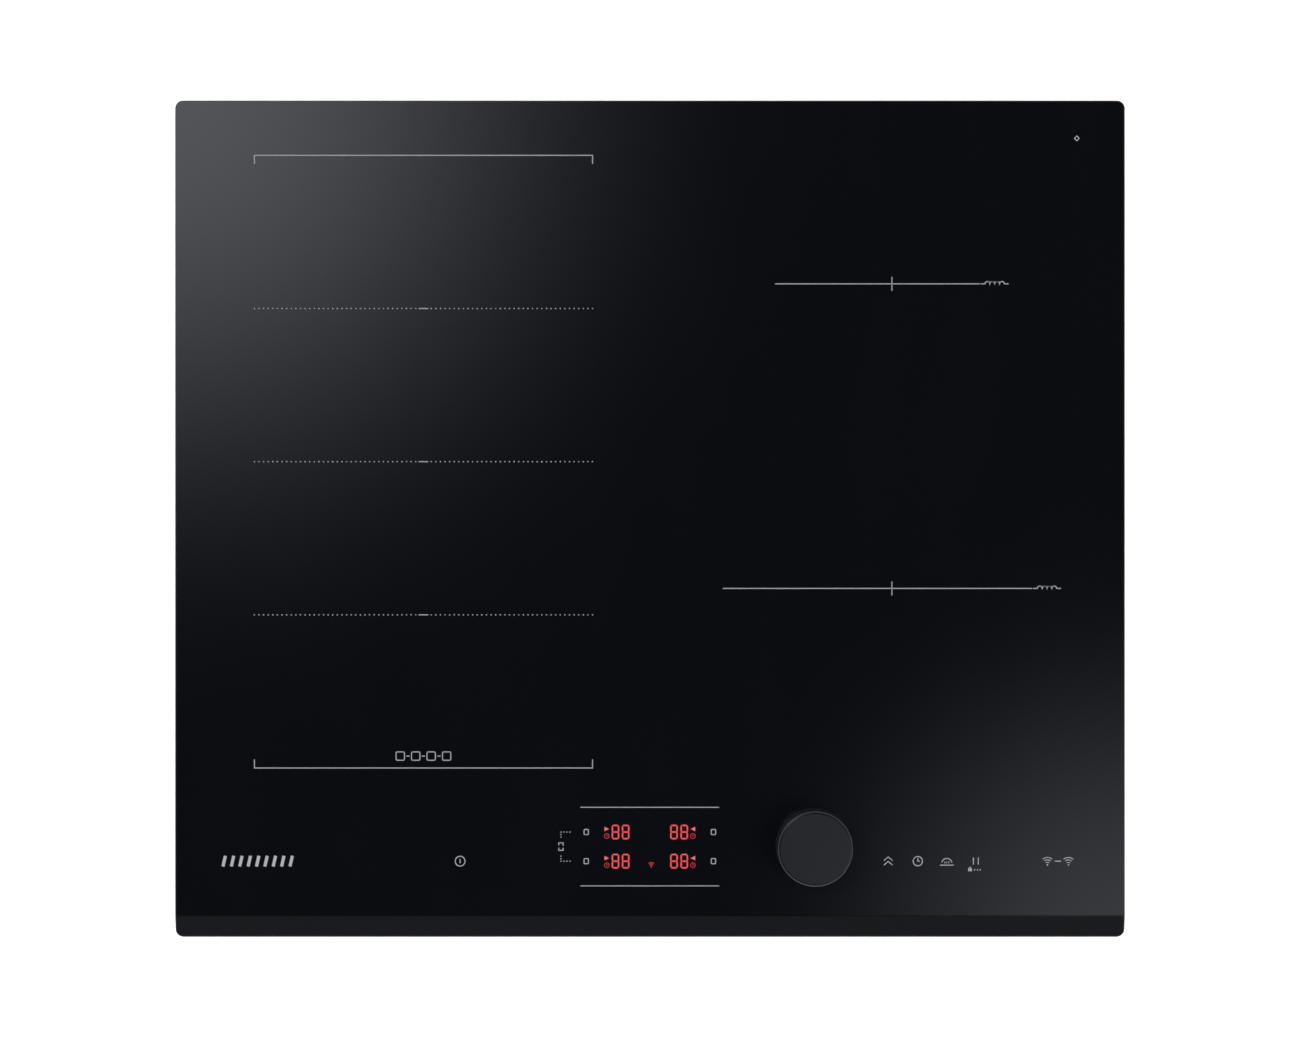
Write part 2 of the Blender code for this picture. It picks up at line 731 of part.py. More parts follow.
def make_terminal_box():
    """A box let into the rear wall, with a fixed gland bay on its left and a covered bay on its right."""
    right = BOX_X + BOX_WIDTH
    low, high = box_levels()
    mouth = CASE_HALF_Y
    flange_face = mouth + GAP + BOX_FLANGE_THICKNESS
    front = flange_face - BOX_FLANGE_THICKNESS / 2
    box = block("terminal_box", (BOX_X, mouth - BOX_DEPTH, BOX_LOW), (right, front, BOX_LOW + BOX_HEIGHT))
    flange_low = (BOX_X - BOX_FLANGE, mouth + GAP, BOX_LOW - BOX_FLANGE)
    flange_high = (right + BOX_FLANGE, flange_face, BOX_LOW + BOX_HEIGHT + BOX_FLANGE)
    fuse(box, block("box_flange", flange_low, flange_high))
    bay_wall = BOX_X + GLAND_BAY
    back = mouth - BOX_DEPTH + BOX_WALL
    bay_low = (BOX_X + BOX_WALL, back, low)
    bay_high = (bay_wall, mouth - GLAND_WALL, high)
    room_low = (bay_wall + BOX_WALL, back, low)
    room_high = (right - BOX_WALL, flange_face + MM, high)
    bays = [block("gland_bay", bay_low, bay_high), block("wire_room", room_low, room_high)]
    cut(box, joined("box_bays", bays))
    way_low = (bay_wall - MM, back + 3 * MM, low + 3 * MM)
    way_high = (bay_wall + BOX_WALL + MM, mouth - WIRE_WAY_FRONT, high - 3 * MM)
    cut(box, block("wire_way", way_low, way_high))
    stop_y = COVER_AXIS_Y - COVER_THICKNESS / 2 - COVER_GAP
    stop_low = (bay_wall + BOX_WALL / 2, stop_y - 1.4 * MM, low - BOX_WALL / 2)
    stop_high = (right - BOX_WALL / 2, stop_y, low + 1.6 * MM)
    fuse(box, block("box_stop", stop_low, stop_high))
    gland_x, gland_z = gland_place()
    bore = rod_across(
        "gland_hole",
        GLAND_RADIUS + GAP,
        -GLAND_WALL - 2 * MM,
        BOX_FLANGE_THICKNESS + 3 * MM,
        20,
        "Y",
        (gland_x, mouth, gland_z),
    )
    pivot = rod_across(
        "cover_pivots",
        COVER_STUB_RADIUS + GAP,
        bay_wall - MM,
        right + MM,
        12,
        "X",
        (0, COVER_AXIS_Y, COVER_AXIS_Z),
    )
    cut(box, joined("box_bores", [bore, pivot]))
    dress(box, BLACK_PLASTIC)


def gland_place():
    low, high = box_levels()
    return BOX_X + (BOX_WALL + GLAND_BAY) / 2, (low + high) / 2


def make_cable_gland():
    """A rubber grommet: a neck through the wall, with a lip on each side."""
    inside = -GLAND_WALL - GAP
    outside = BOX_FLANGE_THICKNESS + 2 * GAP
    lip = GLAND_RADIUS + GLAND_LIP
    profile = [
        (GLAND_BORE, outside + 1.6 * MM),
        (lip - 0.6 * MM, outside + 1.6 * MM),
        (lip, outside + 0.9 * MM),
        (lip, outside),
        (GLAND_RADIUS, outside),
        (GLAND_RADIUS, inside),
        (lip - 0.4 * MM, inside),
        (lip - 0.8 * MM, inside - 1.6 * MM),
        (GLAND_BORE, inside - 1.6 * MM),
    ]
    gland_x, gland_z = gland_place()
    gland = turned("cable_gland", profile, 16, closed=True)
    gland.location = (gland_x, CASE_HALF_Y, gland_z)
    gland.rotation_euler = (-math.pi / 2, 0, 0)
    dress(gland, RUBBER)


def terminal_span():
    """Left and right ends of the terminal block, in the middle of the covered bay."""
    left = BOX_X + GLAND_BAY + BOX_WALL
    right = BOX_X + BOX_WIDTH - BOX_WALL
    half = TERMINAL_POLES * TERMINAL_PITCH / 2
    return (left + right) / 2 - half, (left + right) / 2 + half


def make_terminal_block():
    left, right = terminal_span()
    low, high = box_levels()
    middle = (low + high) / 2
    rear = CASE_HALF_Y - BOX_DEPTH + BOX_WALL + GAP
    block_low = (left, rear, middle - TERMINAL_HEIGHT / 2)
    block_high = (right, rear + TERMINAL_DEPTH, middle + TERMINAL_HEIGHT / 2)
    body = block("terminal_block", block_low, block_high)
    wells = []
    for index in range(TERMINAL_POLES):
        x = left + (index + 0.5) * TERMINAL_PITCH
        for level in (-0.23, 0.23):
            place = (x, rear + TERMINAL_DEPTH, middle + level * TERMINAL_HEIGHT)
            wells.append(rod_across(f"well_{index}_{level}", 3.4 * MM, -7 * MM, MM, 8, "Y", place))
    cut(body, joined("terminal_wells", wells))
    dress(body, WHITE_PLASTIC)


def make_terminal_cover():
    """A lid hung from its top edge by two moulded stubs. Its origin is on that axis."""
    low, _ = box_levels()
    left = BOX_X + GLAND_BAY + BOX_WALL + COVER_GAP
    right = BOX_X + BOX_WIDTH - BOX_WALL - COVER_GAP
    middle = (left + right) / 2
    half = (right - left) / 2
    drop = COVER_AXIS_Z - low - COVER_GAP
    thick = COVER_THICKNESS / 2
    knuckle = COVER_KNUCKLE * thick
    section = [(thick, -drop)]
    for index in range(7):
        angle = math.pi * index / 6
        section.append((knuckle * math.cos(angle), knuckle * math.sin(angle)))
    section.append((-thick, -drop))
    cover = bar("terminal_cover", section, -half, half, "X")
    cover.location = (middle, COVER_AXIS_Y, COVER_AXIS_Z)
    reach = half + COVER_STUB_LENGTH
    stubs = rod_across("cover_stubs", COVER_STUB_RADIUS, -reach, reach, 12, "X", cover.location)
    fuse(cover, stubs)
    grip_low = (middle - 9 * MM, COVER_AXIS_Y + thick / 2, COVER_AXIS_Z - drop + 2 * MM)
    grip_high = (middle + 9 * MM, COVER_AXIS_Y + thick + 1.6 * MM, COVER_AXIS_Z - drop + 3.6 * MM)
    fuse(cover, block("cover_grip", grip_low, grip_high))
    dress(cover, BLACK_PLASTIC)


# ---------------------------------------------------------------- coils


def make_coil_deck():
    """The aluminium sheet that carries the coils, on legs bent down to the case floor."""
    half_x = WALL_X - DECK_INSET
    half_y = WALL_Y - DECK_INSET
    sheet = rounded_points(2 * half_x, 2 * half_y, CASE_CORNER)
    deck = plate("coil_deck", [sheet], DECK_TOP - DECK_SHEET, DECK_TOP)
    holes = []
    for x in (FLEX_X, ZONE_RIGHT_X):
        for y in (FLEX_Y, FLEX_Y - FLEX_PITCH):
            hole = rounded_points(LEAD_HOLE_WIDTH, LEAD_HOLE_DEPTH, LEAD_HOLE_DEPTH * 0.4, 3, (x, y))
            holes.append(plate(f"lead_hole_{x:.2f}_{y:.2f}", [hole], DECK_TOP - 4 * MM, DECK_TOP + 4 * MM))
    cut(deck, joined("lead_holes", holes))
    foot = SHEET + GAP
    legs = []
    for side in (-1, 1):
        for y in (-0.8 * half_y, 0, 0.8 * half_y):
            edge = half_x - DECK_SHEET / 2
            section = [
                (side * edge, DECK_TOP - DECK_SHEET / 2),
                (side * (edge - DECK_SHEET), DECK_TOP - DECK_SHEET / 2),
                (side * (edge - DECK_SHEET), foot + DECK_SHEET),
                (side * (edge - DECK_FOOT), foot + DECK_SHEET),
                (side * (edge - DECK_FOOT), foot),
                (side * edge, foot),
            ]
            name = f"deck_leg_{side}_{y:.3f}"
            legs.append(bar(name, section, y - DECK_LEG / 2, y + DECK_LEG / 2, "Y"))
    fuse(deck, joined("deck_legs", legs))
    dress(deck, ALUMINIUM)


def flex_centres():
    """(x, y) of each flexible zone coil, from the rear forwards."""
    places = []
    for index in range(FLEX_COUNT):
        places.append((FLEX_X, FLEX_Y + ((FLEX_COUNT - 1) / 2 - index) * FLEX_PITCH))
    return places


def make_flex_coil(number, x, y):
    """An oblong former with its ferrite bars, winding and sensor."""
    width = FLEX_WIDTH - 2 * COIL_MARGIN
    depth = FLEX_PITCH - 2 * COIL_MARGIN
    corner = 14 * MM
    rim_inner = (width - 2 * FORMER_RIM, depth - 2 * FORMER_RIM)
    outer = rounded_points(width, depth, corner, 3)
    former = plate(
        f"flex_coil_former_{number}",
        [outer, ring_points(SENSOR_HOLE, 12)],
        FORMER_FLOOR - FORMER_BASE,
        FORMER_FLOOR,
    )
    former.location = (x, y, former.location.z)
    rim = plate(
        f"flex_rim_{number}",
        [outer, rounded_points(*rim_inner, corner - FORMER_RIM, 3)],
        FORMER_FLOOR - FORMER_BASE / 2,
        WINDING_TOP - WINDING_HEIGHT / 2,
    )
    rim.location = (x, y, rim.location.z)
    fuse(former, rim)
    bars = []
    for index in range(4):
        level = y + (index - 1.5) * depth / 4.4
        low = (x - width * 0.4, level - 4 * MM, FORMER_UNDER)
        high = (x + width * 0.4, level + 4 * MM, FORMER_FLOOR - FORMER_BASE / 2)
        bars.append(block(f"flex_ferrite_{number}_{index}", low, high))
    fuse(former, joined(f"flex_ferrites_{number}", bars))
    dress(former, COIL_PLASTIC)
    coil_x = rim_inner[0] - 2 * GAP - MM
    coil_y = rim_inner[1] - 2 * GAP - MM
    inner_x = coil_x - 2 * WINDING_BAND
    inner_y = coil_y - 2 * WINDING_BAND
    outer_line = rounded_points(coil_x, coil_y, coil_y * 0.3, 5)
    inner_line = rounded_points(inner_x, inner_y, inner_y * 0.45, 4)
    winding = plate(
        f"flex_winding_{number}",
        [outer_line, inner_line],
        WINDING_TOP - WINDING_HEIGHT,
        WINDING_TOP,
    )
    winding.location = (x, y, winding.location.z)
    dress(winding, COPPER)
    make_sensor(f"flex_sensor_{number}", x, y)


def make_sensor(name, x, y):
    """A temperature sensor that stands on the deck in the middle of a coil."""
    profile = [
        (0, WINDING_TOP),
        (SENSOR_RADIUS - MM, WINDING_TOP),
        (SENSOR_RADIUS, WINDING_TOP - MM),
        (SENSOR_RADIUS, DECK_TOP + GAP),
        (0, DECK_TOP + GAP),
    ]
    dress(turned(name, profile, 12, (x, y, 0)), WHITE_PLASTIC)


def make_round_coil(kind, x, y, diameter):
    outer = diameter / 2 - COIL_MARGIN
    rim_top = WINDING_TOP - WINDING_HEIGHT / 2
    under = FORMER_FLOOR - FORMER_BASE
    profile = [
        (SENSOR_HOLE, FORMER_FLOOR),
        (outer - FORMER_RIM, FORMER_FLOOR),
        (outer - FORMER_RIM, rim_top),
        (outer, rim_top),
        (outer, under),
        (SENSOR_HOLE, under),
    ]
    former = turned(kind + "_coil_former", profile, 32, (x, y, 0), closed=True)
    bars = []
    for index in range(8):
        low = (SENSOR_HOLE + 10 * MM, -4 * MM, FORMER_UNDER)
        high = (outer * 0.93, 4 * MM, FORMER_FLOOR - FORMER_BASE / 2)
        ferrite = block(f"{kind}_ferrite_{index}", low, high)
        ferrite.data.transform(Matrix.Translation(ferrite.location))
        ferrite.location = (x, y, 0)
        ferrite.rotation_euler = (0, 0, 2 * math.pi * index / 8)
        bars.append(ferrite)
    bpy.context.view_layer.update()
    fuse(former, joined(kind + "_ferrites", bars))
    dress(former, COIL_PLASTIC)
    coil_outer = outer - FORMER_RIM - GAP - MM / 2
    coil_inner = SENSOR_HOLE + 12 * MM
    low = WINDING_TOP - WINDING_HEIGHT
    dress(tube(kind + "_winding", coil_outer, coil_inner, low, WINDING_TOP, 32, (x, y, 0)), COPPER)
    make_sensor(kind + "_sensor", x, y)


def make_mica_sheets():
    top = GLASS_UNDER - GAP
    flex_depth = FLEX_COUNT * FLEX_PITCH
    flex = rounded_points(FLEX_WIDTH, flex_depth, 8 * MM, 2, (FLEX_X, FLEX_Y))
    dress(plate("flex_mica_sheet", [flex], MICA_UNDER, top), MICA_SHEET)
    rounds = (("rear", REAR_ZONE_Y, REAR_ZONE_DIAMETER), ("front", FRONT_ZONE_Y, FRONT_ZONE_DIAMETER))
    for kind, y, diameter in rounds:
        outline = ring_points(diameter / 2, 32, (ZONE_RIGHT_X, y))
        dress(plate(kind + "_mica_sheet", [outline], MICA_UNDER, top), MICA_SHEET)
        make_round_coil(kind, ZONE_RIGHT_X, y, diameter)


# ---------------------------------------------------------------- power and cooling


def make_power_board(kind, side, depth):
    """A board on its bosses, with the heat sink along its inner edge."""
    edges = sorted((side * BOARD_INNER_X, side * (BOARD_INNER_X + BOARD_WIDTH)))
    outlines = [span_points(*edges, BOARD_FRONT_Y, BOARD_FRONT_Y + depth)]
    for near in (BOARD_HOLE_INSET, BOARD_WIDTH - BOARD_HOLE_INSET):
        for far in (BOARD_HOLE_INSET, depth - BOARD_HOLE_INSET):
            place = (side * (BOARD_INNER_X + near), BOARD_FRONT_Y + far)
            outlines.append(ring_points(SCREW_RADIUS + SCREW_SLACK, 8, place))
    dress(plate("power_board_" + kind, outlines, BOARD_UNDER, BOARD_TOP), BOARD)
    low = BOARD_TOP + GAP
    left = side * (BOARD_INNER_X + 6 * MM + SINK_WIDTH / 2) - SINK_WIDTH / 2
    section = [(left, low), (left + SINK_WIDTH, low)]
    pitch = (SINK_WIDTH - SINK_FIN) / (SINK_FINS - 1)
    for index in reversed(range(SINK_FINS)):
        fin = left + index * pitch
        section.append((fin + SINK_FIN, low + SINK_HEIGHT))
        section.append((fin, low + SINK_HEIGHT))
        if index:
            section.append((fin, low + SINK_BASE))
            section.append((fin - pitch + SINK_FIN, low + SINK_BASE))
    start = BOARD_FRONT_Y + 40 * MM
    dress(bar("heat_sink_" + kind, section, start, start + SINK_LENGTH, "Y"), ALUMINIUM)


def make_filter_choke():
    """A wound ring core lying on the right-hand board."""
    work = bmesh.new()
    steps = 18
    around = 8
    for index in range(around):
        angle = 2 * math.pi * index / around
        radius = CHOKE_RADIUS + CHOKE_TUBE * math.cos(angle)
        work.verts.new((radius, 0, CHOKE_TUBE * math.sin(angle)))
    work.verts.ensure_lookup_table()
    for index in range(around):
        work.edges.new((work.verts[index], work.verts[index - 1]))
    mesh = bpy.data.meshes.new("filter_choke")
    work.to_mesh(mesh)
    work.free()
    x = BOARD_INNER_X + BOARD_WIDTH - 40 * MM
    y = BOARD_FRONT_Y + BOARD_RIGHT_DEPTH - 40 * MM
    choke = put("filter_choke", mesh, (x, y, BOARD_TOP + GAP + CHOKE_TUBE))
    turn = choke.modifiers.new("Turned", "SCREW")
    turn.steps = steps
    turn.render_steps = steps
    turn.use_merge_vertices = True
    turn.merge_threshold = 0.00001
    dress(baked(choke), COPPER)


def scroll_outline(inset, duct_end):
    """The fan's spiral, opening into a straight duct towards the front."""
    start = -math.acos(FAN_CUTOFF_X / SCROLL_START)
    steps = 20
    points = []
    for index in range(steps + 1):
        share = index / steps
        angle = start + (math.pi - start) * share
        radius = SCROLL_START + (SCROLL_END - SCROLL_START) * share - inset
        points.append((radius * math.cos(angle), FAN_Y + radius * math.sin(angle)))
    points[0] = (FAN_CUTOFF_X - inset, points[0][1])
    points.append((-SCROLL_END + inset, FAN_Y - duct_end))
    points.append((FAN_CUTOFF_X - inset, FAN_Y - duct_end))
    return points


def make_fan():
    """A radial blower: scroll housing, motor under its top, and the rotor on the spindle."""
    housing = plate("fan_housing", [scroll_outline(0, FAN_DUCT)], FAN_LOW, FAN_TOP)
    inside = scroll_outline(FAN_SHELL, FAN_DUCT + 5 * MM)
    cut(housing, plate("fan_inside", [inside], FAN_LOW + FAN_SHELL, FAN_TOP - FAN_SHELL))
    inlet = rod("fan_inlet", INLET_RADIUS, FAN_LOW - MM, FAN_LOW + 2 * FAN_SHELL, 32, (0, FAN_Y, 0))
    cut(housing, inlet)
    dress(housing, BLACK_PLASTIC)
    profile = [
        (0, MOTOR_UNDER + MOTOR_HEIGHT),
        (MOTOR_RADIUS, MOTOR_UNDER + MOTOR_HEIGHT),
        (MOTOR_RADIUS, MOTOR_UNDER),
        (SPINDLE_RADIUS, MOTOR_UNDER),
        (SPINDLE_RADIUS, MOTOR_UNDER - SPINDLE_LENGTH),
        (0, MOTOR_UNDER - SPINDLE_LENGTH),
    ]
    dress(turned("fan_motor", profile, 24, (0, FAN_Y, 0)), BRIGHT_STEEL)
    make_rotor()


def blade_outline(turn):
    """One blade, curved forwards as it runs outwards."""
    inner = []
    outer = []
    for index in range(4):
        share = index / 3
        radius = ROTOR_INNER + (ROTOR_RADIUS - 0.6 * MM - ROTOR_INNER) * share
        angle = turn + BLADE_SWEEP * share**2
        half = BLADE_THICKNESS / 2 / radius
        inner.append((radius * math.cos(angle - half), radius * math.sin(angle - half)))
        outer.append((radius * math.cos(angle + half), radius * math.sin(angle + half)))
    return inner + outer[::-1]


def make_rotor():
    """Hub, back disc, blades and front ring. Its origin is on the spindle's axis."""
    low = ROTOR_TOP - ROTOR_HEIGHT
    bore = SPINDLE_RADIUS + GAP
    hub_low = MOTOR_UNDER - SPINDLE_LENGTH
    profile = [
        (bore, ROTOR_TOP),
        (ROTOR_RADIUS, ROTOR_TOP),
        (ROTOR_RADIUS, ROTOR_TOP - ROTOR_DISC),
        (HUB_RADIUS, ROTOR_TOP - ROTOR_DISC),
        (HUB_RADIUS, hub_low),
        (bore, hub_low),
    ]
    rotor = turned("fan_rotor", profile, 30, (0, FAN_Y, 0), closed=True)
    blades = [blade_outline(2 * math.pi * index / ROTOR_BLADES) for index in range(ROTOR_BLADES)]
    vanes = plate("fan_blades", blades, low + ROTOR_DISC / 2, ROTOR_TOP - ROTOR_DISC / 2)
    vanes.location = (0, FAN_Y, vanes.location.z)
    fuse(rotor, vanes)
    ring_inner = ROTOR_INNER + 3 * MM
    ring_place = (0, FAN_Y, 0)
    fuse(rotor, tube("fan_ring", ROTOR_RADIUS, ring_inner, low, low + ROTOR_DISC, 30, ring_place))
    dress(rotor, BLACK_PLASTIC)


# ---------------------------------------------------------------- controls


def make_controls():
    """The tray under the glass at the front, with its board, display block and docking magnet."""
    middle = ((TRAY_LEFT + TRAY_RIGHT) / 2, (TRAY_FRONT + TRAY_REAR) / 2)
    width = TRAY_RIGHT - TRAY_LEFT
    depth = TRAY_REAR - TRAY_FRONT
    outer = rounded_points(width, depth, TRAY_CORNER, 3, middle)
    inner_x = width - 2 * TRAY_WALL
    inner_y = depth - 2 * TRAY_WALL
    inner = rounded_points(inner_x, inner_y, TRAY_CORNER - TRAY_WALL, 3, middle)
    tray_low = DECK_TOP + GAP
    tray = plate("control_tray", [outer], tray_low, tray_low + TRAY_FLOOR)
    fuse(tray, plate("tray_walls", [outer, inner], tray_low + TRAY_FLOOR / 2, GLASS_UNDER - 2 * GAP))
    dress(tray, BLACK_PLASTIC)
    board = rounded_points(inner_x - 2 * GAP, inner_y - 2 * GAP, TRAY_CORNER - TRAY_WALL, 3, middle)
    dress(plate("control_board", [board], CONTROL_BOARD_UNDER, CONTROL_BOARD_TOP), BOARD)
    rise = CONTROL_BOARD_TOP + GAP
    place = (DISPLAY_X, DISPLAY_Y)
    display = rounded_points(DISPLAY_WIDTH, DISPLAY_DEPTH, 2 * MM, 3, place)
    dress(plate("display_block", [display], rise, GLASS_UNDER - GAP), SMOKE_PLASTIC)
    dock = tube("dock_magnet", DOCK_RADIUS, DOCK_BORE, rise, rise + DOCK_HEIGHT, 24, (DIAL_X, DIAL_Y, 0))
    dress(dock, BRIGHT_STEEL)


def make_dial():
    """The lift-off dial: a foot that grips the glass, and a cap that turns on the foot's post."""
    axis = (DIAL_X, DIAL_Y, 0)
    foot_low = HEIGHT + GAP
    foot_top = foot_low + FOOT_HEIGHT
    foot_radius = DIAL_RADIUS - DIAL_WALL - 2 * GAP
    profile = [
        (0, foot_low + POST_HEIGHT),
        (POST_RADIUS - 0.4 * MM, foot_low + POST_HEIGHT),
        (POST_RADIUS, foot_low + POST_HEIGHT - 0.4 * MM),
        (POST_RADIUS, foot_top),
        (foot_radius, foot_top),
        (foot_radius, foot_low + 0.4 * MM),
        (foot_radius - 0.4 * MM, foot_low),
        (0, foot_low),
    ]
    dress(turned("knob_foot", profile, 32, axis), RUBBER)
    cap_low = HEIGHT + DIAL_LIFT
    cap_top = HEIGHT + DIAL_HEIGHT
    ceiling = cap_top - DIAL_TOP
    top_radius = DIAL_RADIUS - DIAL_DRAFT
    bush_low = foot_top + GAP
    bush_inner = POST_RADIUS + GAP
    bush_outer = bush_inner + BUSH_WALL
    boss_inner = bush_outer + GAP
    boss_outer = boss_inner + BOSS_WALL
    shell = [(0, cap_top)]
    for index in range(5):
        angle = math.pi / 2 * (1 - index / 4)
        across = top_radius - DIAL_ROUND + DIAL_ROUND * math.cos(angle)
        shell.append((across, cap_top - DIAL_ROUND + DIAL_ROUND * math.sin(angle)))
    shell += [
        (DIAL_RADIUS, cap_low + 0.3 * MM),
        (DIAL_RADIUS - 0.3 * MM, cap_low),
        (DIAL_RADIUS - DIAL_WALL, cap_low),
        (DIAL_RADIUS - DIAL_WALL, ceiling),
        (boss_outer, ceiling),
        (boss_outer, bush_low + 1.5 * MM),
        (boss_inner, bush_low + 1.5 * MM),
        (boss_inner, ceiling),
        (0, ceiling),
    ]
    dress(turned("knob_cap", shell, 44, axis), DIAL_METAL)
    bush_top = foot_low + POST_HEIGHT
    dress(tube("knob_bush", bush_outer, bush_inner, bush_low, bush_top, 20, axis), WHITE_PLASTIC)
    magnet_inner = boss_outer + GAP
    magnet_low = ceiling - GAP - MAGNET_HEIGHT
    magnet_outer = magnet_inner + MAGNET_WALL
    magnet = tube("knob_magnet", magnet_outer, magnet_inner, magnet_low, ceiling - GAP, 24, axis)
    dress(magnet, BRIGHT_STEEL)


clear_scene()
PARTS = collection("induction_hob")
CUTTERS = collection("cutters")
BLACK_GLASS = finish_of("black glass ceramic", (0.008, 0.008, 0.01), 0.06)
FOAM = finish_of("grey foam", (0.06, 0.06, 0.065), 0.9)
ZINC_STEEL = finish_of("galvanised steel", (0.55, 0.57, 0.58), 0.42, 1.0)
SPRING_STEEL = finish_of("spring steel", (0.45, 0.45, 0.44), 0.35, 1.0)
BRIGHT_STEEL = finish_of("bright plated steel", (0.62, 0.62, 0.6), 0.3, 1.0)
BLACK_PLASTIC = finish_of("black moulded plastic", (0.02, 0.02, 0.021), 0.5)
WHITE_PLASTIC = finish_of("white moulded plastic", (0.7, 0.69, 0.65), 0.5)
COIL_PLASTIC = finish_of("grey coil plastic", (0.16, 0.16, 0.16), 0.6)
SMOKE_PLASTIC = finish_of("smoked display plastic", (0.05, 0.02, 0.02), 0.3)
RUBBER = finish_of("black rubber", (0.015, 0.015, 0.015), 0.8)
ALUMINIUM = finish_of("aluminium sheet", (0.78, 0.78, 0.79), 0.35, 1.0)
COPPER = finish_of("enamelled copper litz", (0.6, 0.28, 0.14), 0.4, 1.0)
MICA_SHEET = finish_of("mica sheet", (0.5, 0.44, 0.33), 0.55)
BOARD = finish_of("green circuit board", (0.03, 0.18, 0.07), 0.45)
DIAL_METAL = finish_of("graphite anodised aluminium", (0.022, 0.022, 0.025), 0.4, 0.6)

make_glass_top()
make_worktop_seal()
make_glass_frame()
make_bottom_case()
make_fasteners()
make_terminal_box()
make_terminal_block()
make_terminal_cover()
make_cable_gland()
make_coil_deck()
for number, (flex_x, flex_y) in enumerate(flex_centres(), 1):
    make_flex_coil(number, flex_x, flex_y)
make_mica_sheets()
make_power_board("left", -1, BOARD_LEFT_DEPTH)
make_power_board("right", 1, BOARD_RIGHT_DEPTH)
make_filter_choke()
make_fan()
make_controls()
make_dial()
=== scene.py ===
"""Looks of a built-in induction hob: black glass, printed marks, lit digits, dial and steel case.

Laid out as an add-on: each operator makes one piece or one group of like pieces, and a panel in the
sidebar lists them. Metres, +Z up. The user stands at -Y and +X is to the right.
"""

import json
import math

import bmesh
import bpy
from bpy.props import FloatProperty, FloatVectorProperty, IntProperty, PointerProperty
from mathutils import Matrix, Vector

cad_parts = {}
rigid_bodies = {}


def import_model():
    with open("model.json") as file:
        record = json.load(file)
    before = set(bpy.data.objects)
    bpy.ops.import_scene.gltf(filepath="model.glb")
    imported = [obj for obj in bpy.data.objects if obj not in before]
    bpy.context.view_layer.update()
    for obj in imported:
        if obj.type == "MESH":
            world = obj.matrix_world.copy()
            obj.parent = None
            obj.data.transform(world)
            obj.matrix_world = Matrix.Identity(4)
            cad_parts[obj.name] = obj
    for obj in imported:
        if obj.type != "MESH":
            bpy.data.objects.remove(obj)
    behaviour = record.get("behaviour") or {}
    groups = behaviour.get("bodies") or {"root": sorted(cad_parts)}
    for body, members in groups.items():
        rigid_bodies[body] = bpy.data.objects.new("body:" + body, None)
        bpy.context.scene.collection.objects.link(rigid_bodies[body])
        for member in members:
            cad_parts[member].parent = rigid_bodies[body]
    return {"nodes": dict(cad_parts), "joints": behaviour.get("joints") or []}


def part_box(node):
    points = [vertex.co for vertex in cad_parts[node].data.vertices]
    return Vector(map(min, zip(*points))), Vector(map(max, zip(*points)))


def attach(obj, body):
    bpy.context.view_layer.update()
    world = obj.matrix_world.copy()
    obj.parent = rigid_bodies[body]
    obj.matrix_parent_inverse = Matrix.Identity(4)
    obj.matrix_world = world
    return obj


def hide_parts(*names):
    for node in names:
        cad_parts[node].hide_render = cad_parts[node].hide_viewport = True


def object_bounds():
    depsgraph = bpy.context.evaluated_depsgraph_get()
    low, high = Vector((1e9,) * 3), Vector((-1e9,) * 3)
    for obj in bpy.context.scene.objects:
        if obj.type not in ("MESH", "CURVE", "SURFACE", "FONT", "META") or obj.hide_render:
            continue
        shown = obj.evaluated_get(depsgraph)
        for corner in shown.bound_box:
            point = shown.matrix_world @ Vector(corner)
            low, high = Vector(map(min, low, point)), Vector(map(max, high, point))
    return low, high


bl_info = {
    "name": "Induction Hob",
    "version": (1, 0, 0),
    "blender": (4, 5, 0),
    "location": "View3D > Sidebar > Hob",
    "description": "Builds the visible surfaces of a built-in induction hob round its frame",
    "category": "Object",
}

for startup in list(bpy.data.objects):
    bpy.data.objects.remove(startup, do_unlink=True)

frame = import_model()
CAD_BOX = [list(corner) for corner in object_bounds()]

MM = 0.001
GLASS_LOW, GLASS_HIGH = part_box("glass_top")
CAP_LOW, CAP_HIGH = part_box("knob_cap")
FOOT_LOW, FOOT_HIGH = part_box("knob_foot")
DISPLAY_LOW, DISPLAY_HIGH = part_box("display_block")
CLIP_FOLD = 1.2 * MM  # how far a clip's fold rises over its base
SCREW_HEAD = 1.6 * MM  # height of a screw's head
FLEX_LOW, FLEX_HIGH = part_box("flex_mica_sheet")
REAR_LOW, REAR_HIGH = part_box("rear_mica_sheet")
FRONT_LOW, FRONT_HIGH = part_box("front_mica_sheet")
SEAL_LOW, SEAL_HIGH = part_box("worktop_seal")
CASE_LOW, CASE_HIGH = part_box("bottom_case")
GLASS_FACE = GLASS_HIGH.z
DIAL_CENTRE = (CAP_LOW + CAP_HIGH) / 2
# The figures stand 0.4 mm left of the middle of their block.
DISPLAY_CENTRE = (DISPLAY_LOW + DISPLAY_HIGH) / 2 - Vector((0.4 * MM, 0, 0))
# The cover's joint axis runs through the middle of its thickness.
COVER_AXIS = next(j for j in frame["joints"] if j["child"] == "terminal_cover")


# ---------------------------------------------------------------- colours and nodes


def linear(code):
    """The linear colour of an sRGB hex code such as #28292d."""
    shares = [int(code[i:i + 2], 16) / 255 for i in (1, 3, 5)]
    return (*[s / 12.92 if s <= 0.04045 else ((s + 0.055) / 1.055) ** 2.4 for s in shares], 1.0)


